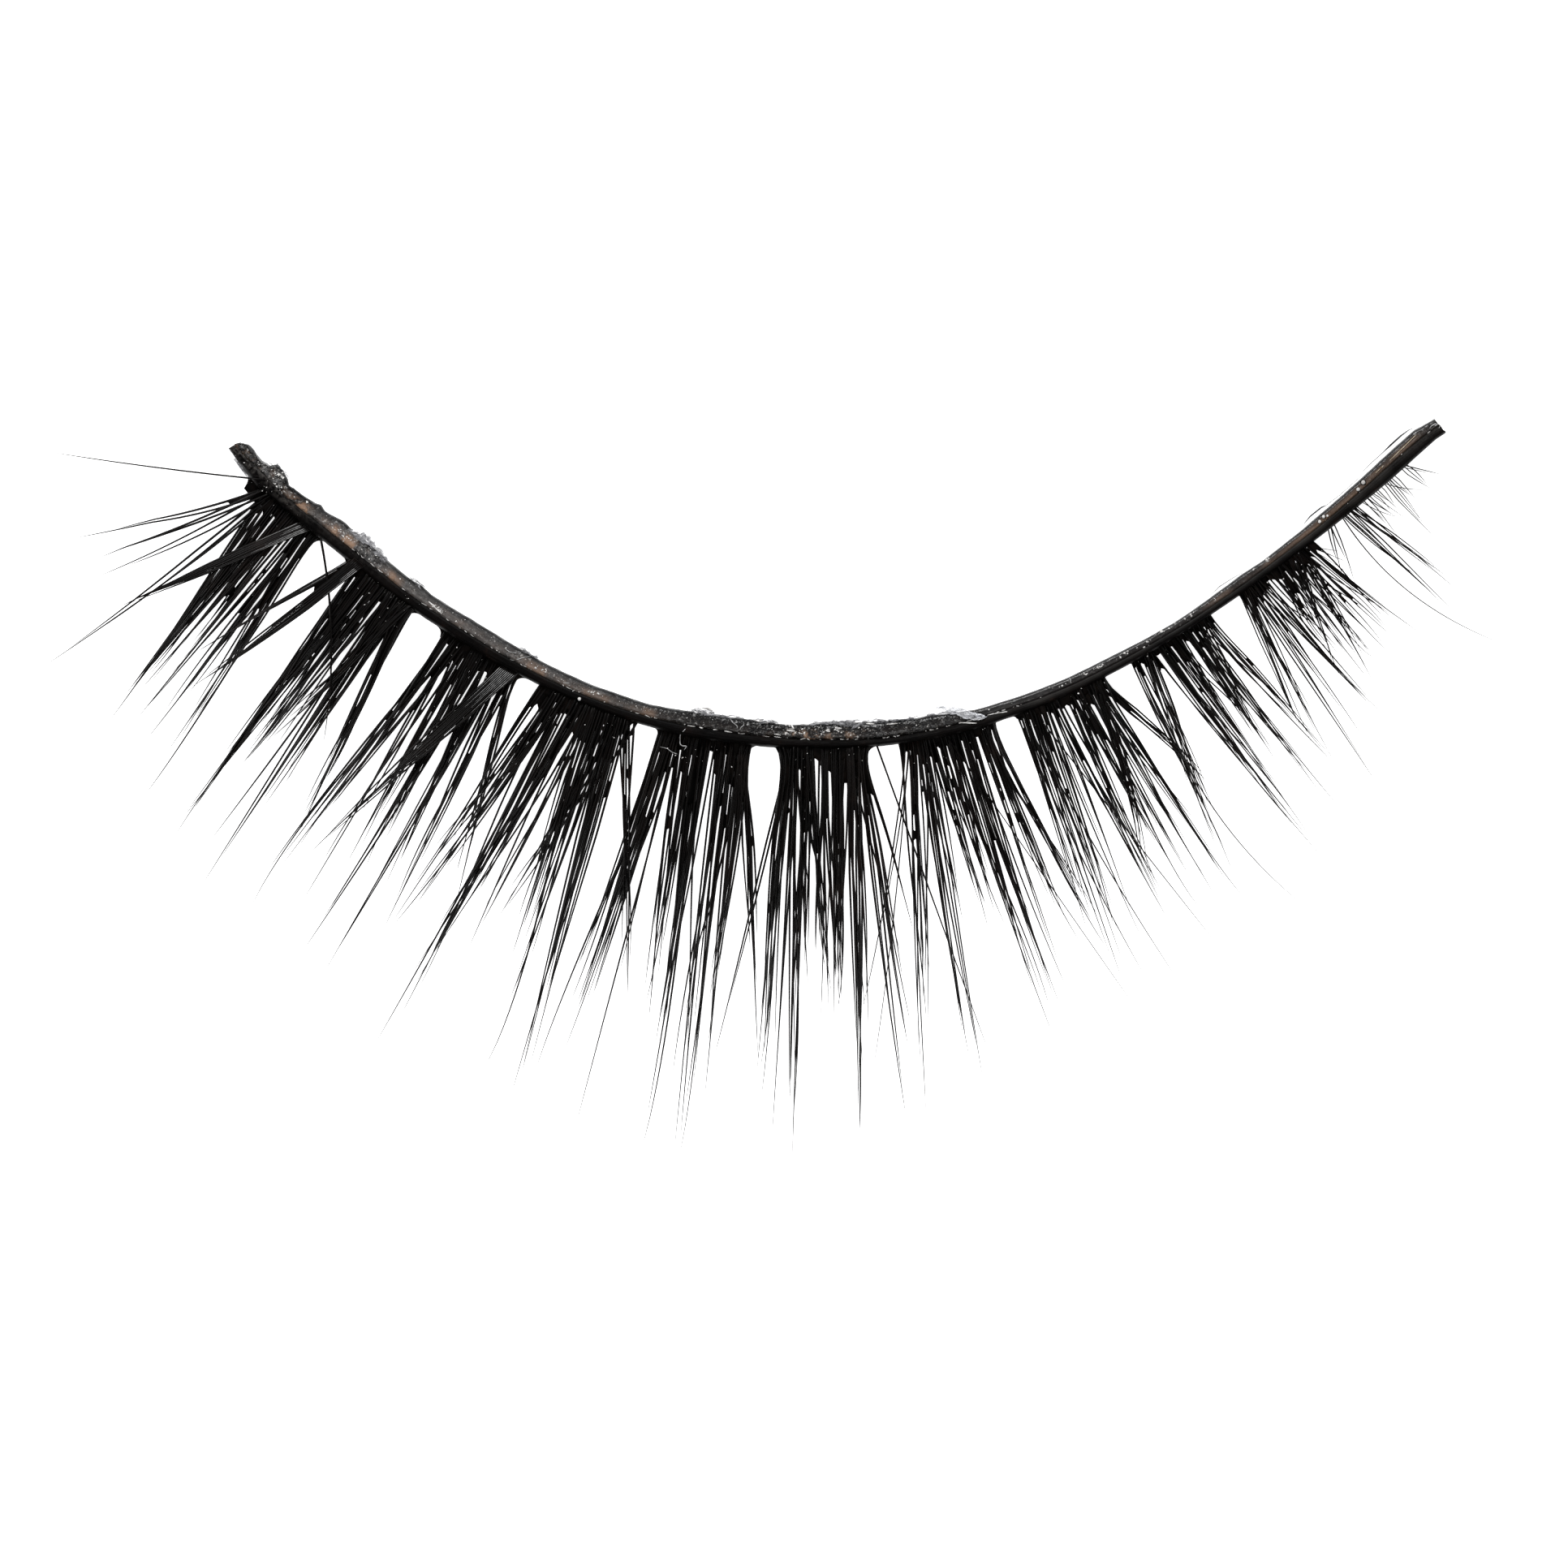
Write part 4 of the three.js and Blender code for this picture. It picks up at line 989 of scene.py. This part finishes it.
# share in per cent, out in mm and how many
FLECK_GROUPS = (
    (18.5, 0.03, 16), (18.9, 0, 16), (21.3, 0.09, 8), (66.9, -0.06, 4), (68.4, -0.12, 9), (69.8, -0.1, 8),
    (71.9, -0.08, 7), (73.5, -0.06, 9), (75.1, -0.13, 8), (76.9, -0.1, 9), (80, -0.11, 5), (84, -0.17, 9),
    (47, -0.02, 16), (49.6, -0.1, 12), (51, 0.05, 9), (46.2, -0.18, 8), (43, 0.09, 6), (39.9, 0.1, 8),
    (9.9, -0.12, 12), (11, -0.12, 10), (3.9, -0.2, 12), (4.2, 0.02, 7), (6.9, -0.2, 5), (16.4, 0.05, 6),
    (27.2, 0, 8), (31.6, 0.03, 8), (35.9, 0.11, 6),
)


# white specks and flecks: pale glue crumbs, partly painted glints
def glue_specks_and_glints():
    rng = np.random.default_rng(57)
    parts = []
    for start, end, count, inner, outer in SPECK_FIELDS:
        for _ in range(count):
            share = rng.uniform(start, end) / 100
            lid, lash = edge_out(share, 1), edge_out(share, 3)
            out = lid + (lash - lid) * rng.uniform(inner, outer)
            size = 0.004 + 0.012 * rng.random() ** 4
            height = top_height(share, out) if out < lash - 0.04 else curl_height(out) + 0.42
            parts.append(blob(rng, place(share, out, height + size * 0.2), size))
    for share, out, count in FLECK_GROUPS:
        for _ in range(count):
            at, aside = share / 100 + rng.normal(0, 0.004), out + rng.normal(0, 0.025)
            size = 0.007 + 0.024 * rng.random() ** 2
            parts.append(blob(rng, place(at, aside, top_height(at, aside)), size))
    make_piece("glue_specks_and_glints", *joined(parts), SPECK, "band_strip")


# share in per cent, out and radius in mm
BUBBLES = (
    (92.5, -0.159, 0.058), (93.1, -0.214, 0.062), (88.85, -0.136, 0.05), (89.3, -0.167, 0.052),
    (89.55, -0.13, 0.04), (90.65, -0.106, 0.024), (91.25, -0.045, 0.016), (31, 0.29, 0.05),
    (4.3, 0.02, 0.035), (4.6, -0.05, 0.028), (69.8, -0.099, 0.024), (71.9, -0.082, 0.026),
    (66.6, -0.08, 0.03), (84.1, -0.18, 0.035),
)


def bubbles():
    """Low domes coloured near white, a painted glint on each bubble, each with a dark rim around it."""
    domes, rims = [], []
    rings, sides = 6, 16
    dome = ball(np.linspace(0, 2 * math.pi, sides + 1)[:-1], np.linspace(0, 0.49, rings) * math.pi, 0.7)
    faces = grid_faces(rings, sides) + [list(range((rings - 1) * sides, rings * sides))]
    loop = np.linspace(0, 2 * math.pi, 20)
    circle = stacked(np.cos(loop), np.sin(loop), 0.0)
    for share, out, size in BUBBLES:
        centre = place(share / 100, out, top_height(share / 100, out))
        domes.append((centre + size * dome * 0.85, faces))
        rims.append(tubes((centre + size * circle)[None], np.full((1, len(loop)), size * 0.16)))
    make_piece("glue_bubbles", *joined(domes), SPECK, "band_strip")
    make_piece("bubble_rims", *joined(rims), BEAD, "root_bead")


def sheet_strip(rng, share, out, run, width, lean, height):
    """A small crumpled shard of film, lying along the band and leaning up from it."""
    steps, across = 7, 3
    s = share / 100 + np.linspace(-0.5, 0.5, steps) * run / BAND_LENGTH
    w = np.linspace(0, 1, across)
    taper = np.sin(math.pi * np.linspace(0.08, 0.92, steps)) ** 0.7 * rng.uniform(0.6, 1.2, steps)
    o = out + lean * np.linspace(-0.5, 0.5, steps)[:, None] - width * taper[:, None] * w[None, :]
    z = height + 0.05 * rng.random((steps, across)) + 0.05 * w[None, :]
    upper = place(s[:, None], o, z)
    return closed(slab(upper, upper - np.array([0, 0, 0.006])))


# from, to, how many shards, how far beyond the lid edge they reach in mm
FLAKE_FIELDS = (
    (10.6, 14.2, 26, 0.12), (16.3, 17.2, 5, 0.05), (25.8, 26.9, 7, 0.06), (38.9, 42.4, 20, 0.08),
    (43.4, 45.3, 10, 0.06), (47.6, 49.4, 8, 0.05), (49.2, 51.6, 14, 0.09), (52, 55.5, 14, 0.05),
    (2.9, 4.2, 6, 0.03), (56.6, 58.2, 8, 0.05),
)


def glue_flakes():
    rng = np.random.default_rng(73)
    parts = []
    for start, end, count, reach in FLAKE_FIELDS:
        for _ in range(count):
            share = rng.uniform(start, end)
            lid = float(edge_out(share / 100, 1))
            out = lid + rng.uniform(-0.3, 1.2) * reach
            run, width = rng.uniform(0.12, 0.42), rng.uniform(0.4, 1.3) * reach
            lean, height = rng.normal(0, 0.05), rng.uniform(0.2, 0.4)
            parts.append(sheet_strip(rng, share, out, run, width, lean, height))
    for share in (1.0, 1.3, 1.6, 1.9, 2.2):
        parts.append(sheet_strip(rng, share, 0.22 + 0.05 * share, 0.2, 0.09, 0.02, 0.2))
    make_piece("glue_flakes", *joined(parts), FLAKE, "band_strip", smooth=False)


# the crumpled crystal-like flake: share in per cent, middle out and half width in mm
LARGE_FLAKE = (
    (57.2, -0.44, 0.02), (57.7, -0.4, 0.06), (58.2, -0.33, 0.08), (58.7, -0.25, 0.1), (59.2, -0.15, 0.12),
    (59.7, -0.07, 0.11), (60.2, -0.01, 0.07), (60.6, 0.03, 0.02),
)


def large_flake():
    rng = np.random.default_rng(83)
    share, middle, half = resampled(LARGE_FLAKE, 20)
    share /= 100
    half *= rng.uniform(0.8, 1.2, 20)
    across = np.linspace(-1, 1, 8)
    out = middle[:, None] + half[:, None] * across
    z = np.maximum(top_height(share[:, None], out), 0.3) + 0.03 + 0.11 * rng.random(out.shape)
    upper = place(share[:, None] + 0.0008 * rng.normal(size=out.shape), out, z)
    ring = slab(upper, upper - np.array([0, 0, 0.02]))
    make_piece("large_flake", *closed(ring), CRYSTAL, "band_strip", smooth=False)


# the clear film's outer edge, drawn as a dark line that stands in for the edge's dark reflection: share in per
# cent, out in mm and half thickness in mm
FILM_EDGES = (
    ((79.3, -0.24, 0.004), (80.2, -0.3, 0.01), (81.3, -0.29, 0.007), (82.2, -0.26, 0.004)),
    ((87.9, -0.33, 0.006), (88.6, -0.375, 0.018), (89.6, -0.375, 0.02), (90, -0.34, 0.006),
     (91.2, -0.33, 0.006), (92.9, -0.36, 0.005), (93.4, -0.36, 0.004)),
    ((93.4, -0.42, 0.004), (94.4, -0.45, 0.008), (95.6, -0.47, 0.009), (96.4, -0.49, 0.024),
     (97.4, -0.505, 0.022), (98.1, -0.49, 0.01), (98.4, -0.46, 0.005)),
)


def clear_film():
    """The film from the strip's lid edge out to a dark line along its edge, a painted dark reflection."""
    steps = 40
    edges, sheets = [], []
    for rows in FILM_EDGES:
        share, out, size = resampled(rows, steps)
        share /= 100
        edges.append(tubes(place(share, out, 0.12 + 0 * out)[None], size[None]))
        lid = edge_out(share, 1) + 0.03
        across = np.linspace(0, 1, 4)
        sheet_out = out[:, None] + (lid - out)[:, None] * across
        upper = place(share[:, None], sheet_out, 0.12 + 0.12 * across)
        ring = slab(upper, upper - np.array([0, 0, 0.008]))
        sheets.append((ring.reshape(-1, 3), grid_faces(steps, 2 * len(across))))
    make_piece("film_edges", *joined(edges), EDGE, "band_strip")
    make_piece("glue_film", *joined(sheets), FILM, "band_strip")


glue_specks_and_glints()
bubbles()
glue_flakes()
large_flake()
clear_film()

# Floor and light
floor_mesh = bpy.data.meshes.new("floor")
floor_mesh.from_pydata([(-2, -2, 0), (2, -2, 0), (2, 2, 0), (-2, 2, 0)], [], [(0, 1, 2, 3)])
floor = add_object("floor", floor_mesh)
floor_look = Look("floor")
floor_colour = floor_look.ramp(floor_look.noise(20.0, 3.0), (0.3, 0.9), (0.7, 0.93))
floor_glow = {"Emission Color": (1, 1, 1), "Emission Strength": 0.9}
floor_mesh.materials.append(floor_look.made(floor_colour, 0.9, **floor_glow))

world = bpy.data.worlds.new("world")
bpy.context.scene.world = world
world.use_nodes = True
world.node_tree.nodes["Background"].inputs["Color"].default_value = (1, 1, 1, 1)
world.node_tree.nodes["Background"].inputs["Strength"].default_value = 0.05


LIGHT_DISTANCE = 0.4


def soft_light(name, azimuth, elevation, size, power):
    """A square lamp that faces the strip. Sizes of lamps and their distance are in metres."""
    data = bpy.data.lights.new(name, "AREA")
    data.shape = "SQUARE"
    data.size = size
    data.energy = power
    light = add_object(name, data)
    a, e = math.radians(azimuth), math.radians(elevation)
    spot = Vector((math.cos(e) * math.cos(a), math.cos(e) * math.sin(a), math.sin(e))) * LIGHT_DISTANCE
    light.location = spot
    light.rotation_euler = (-spot).to_track_quat("-Z", "Y").to_euler()


soft_light("light_back", 110, 44, 0.1, 1.28)
soft_light("light_left", 200, 45, 0.08, 0.16)
soft_light("light_right", 350, 45, 0.08, 0.16)
soft_light("light_front", 275, 65, 0.12, 0.4)

bpy.context.scene.view_settings.view_transform = "Standard"
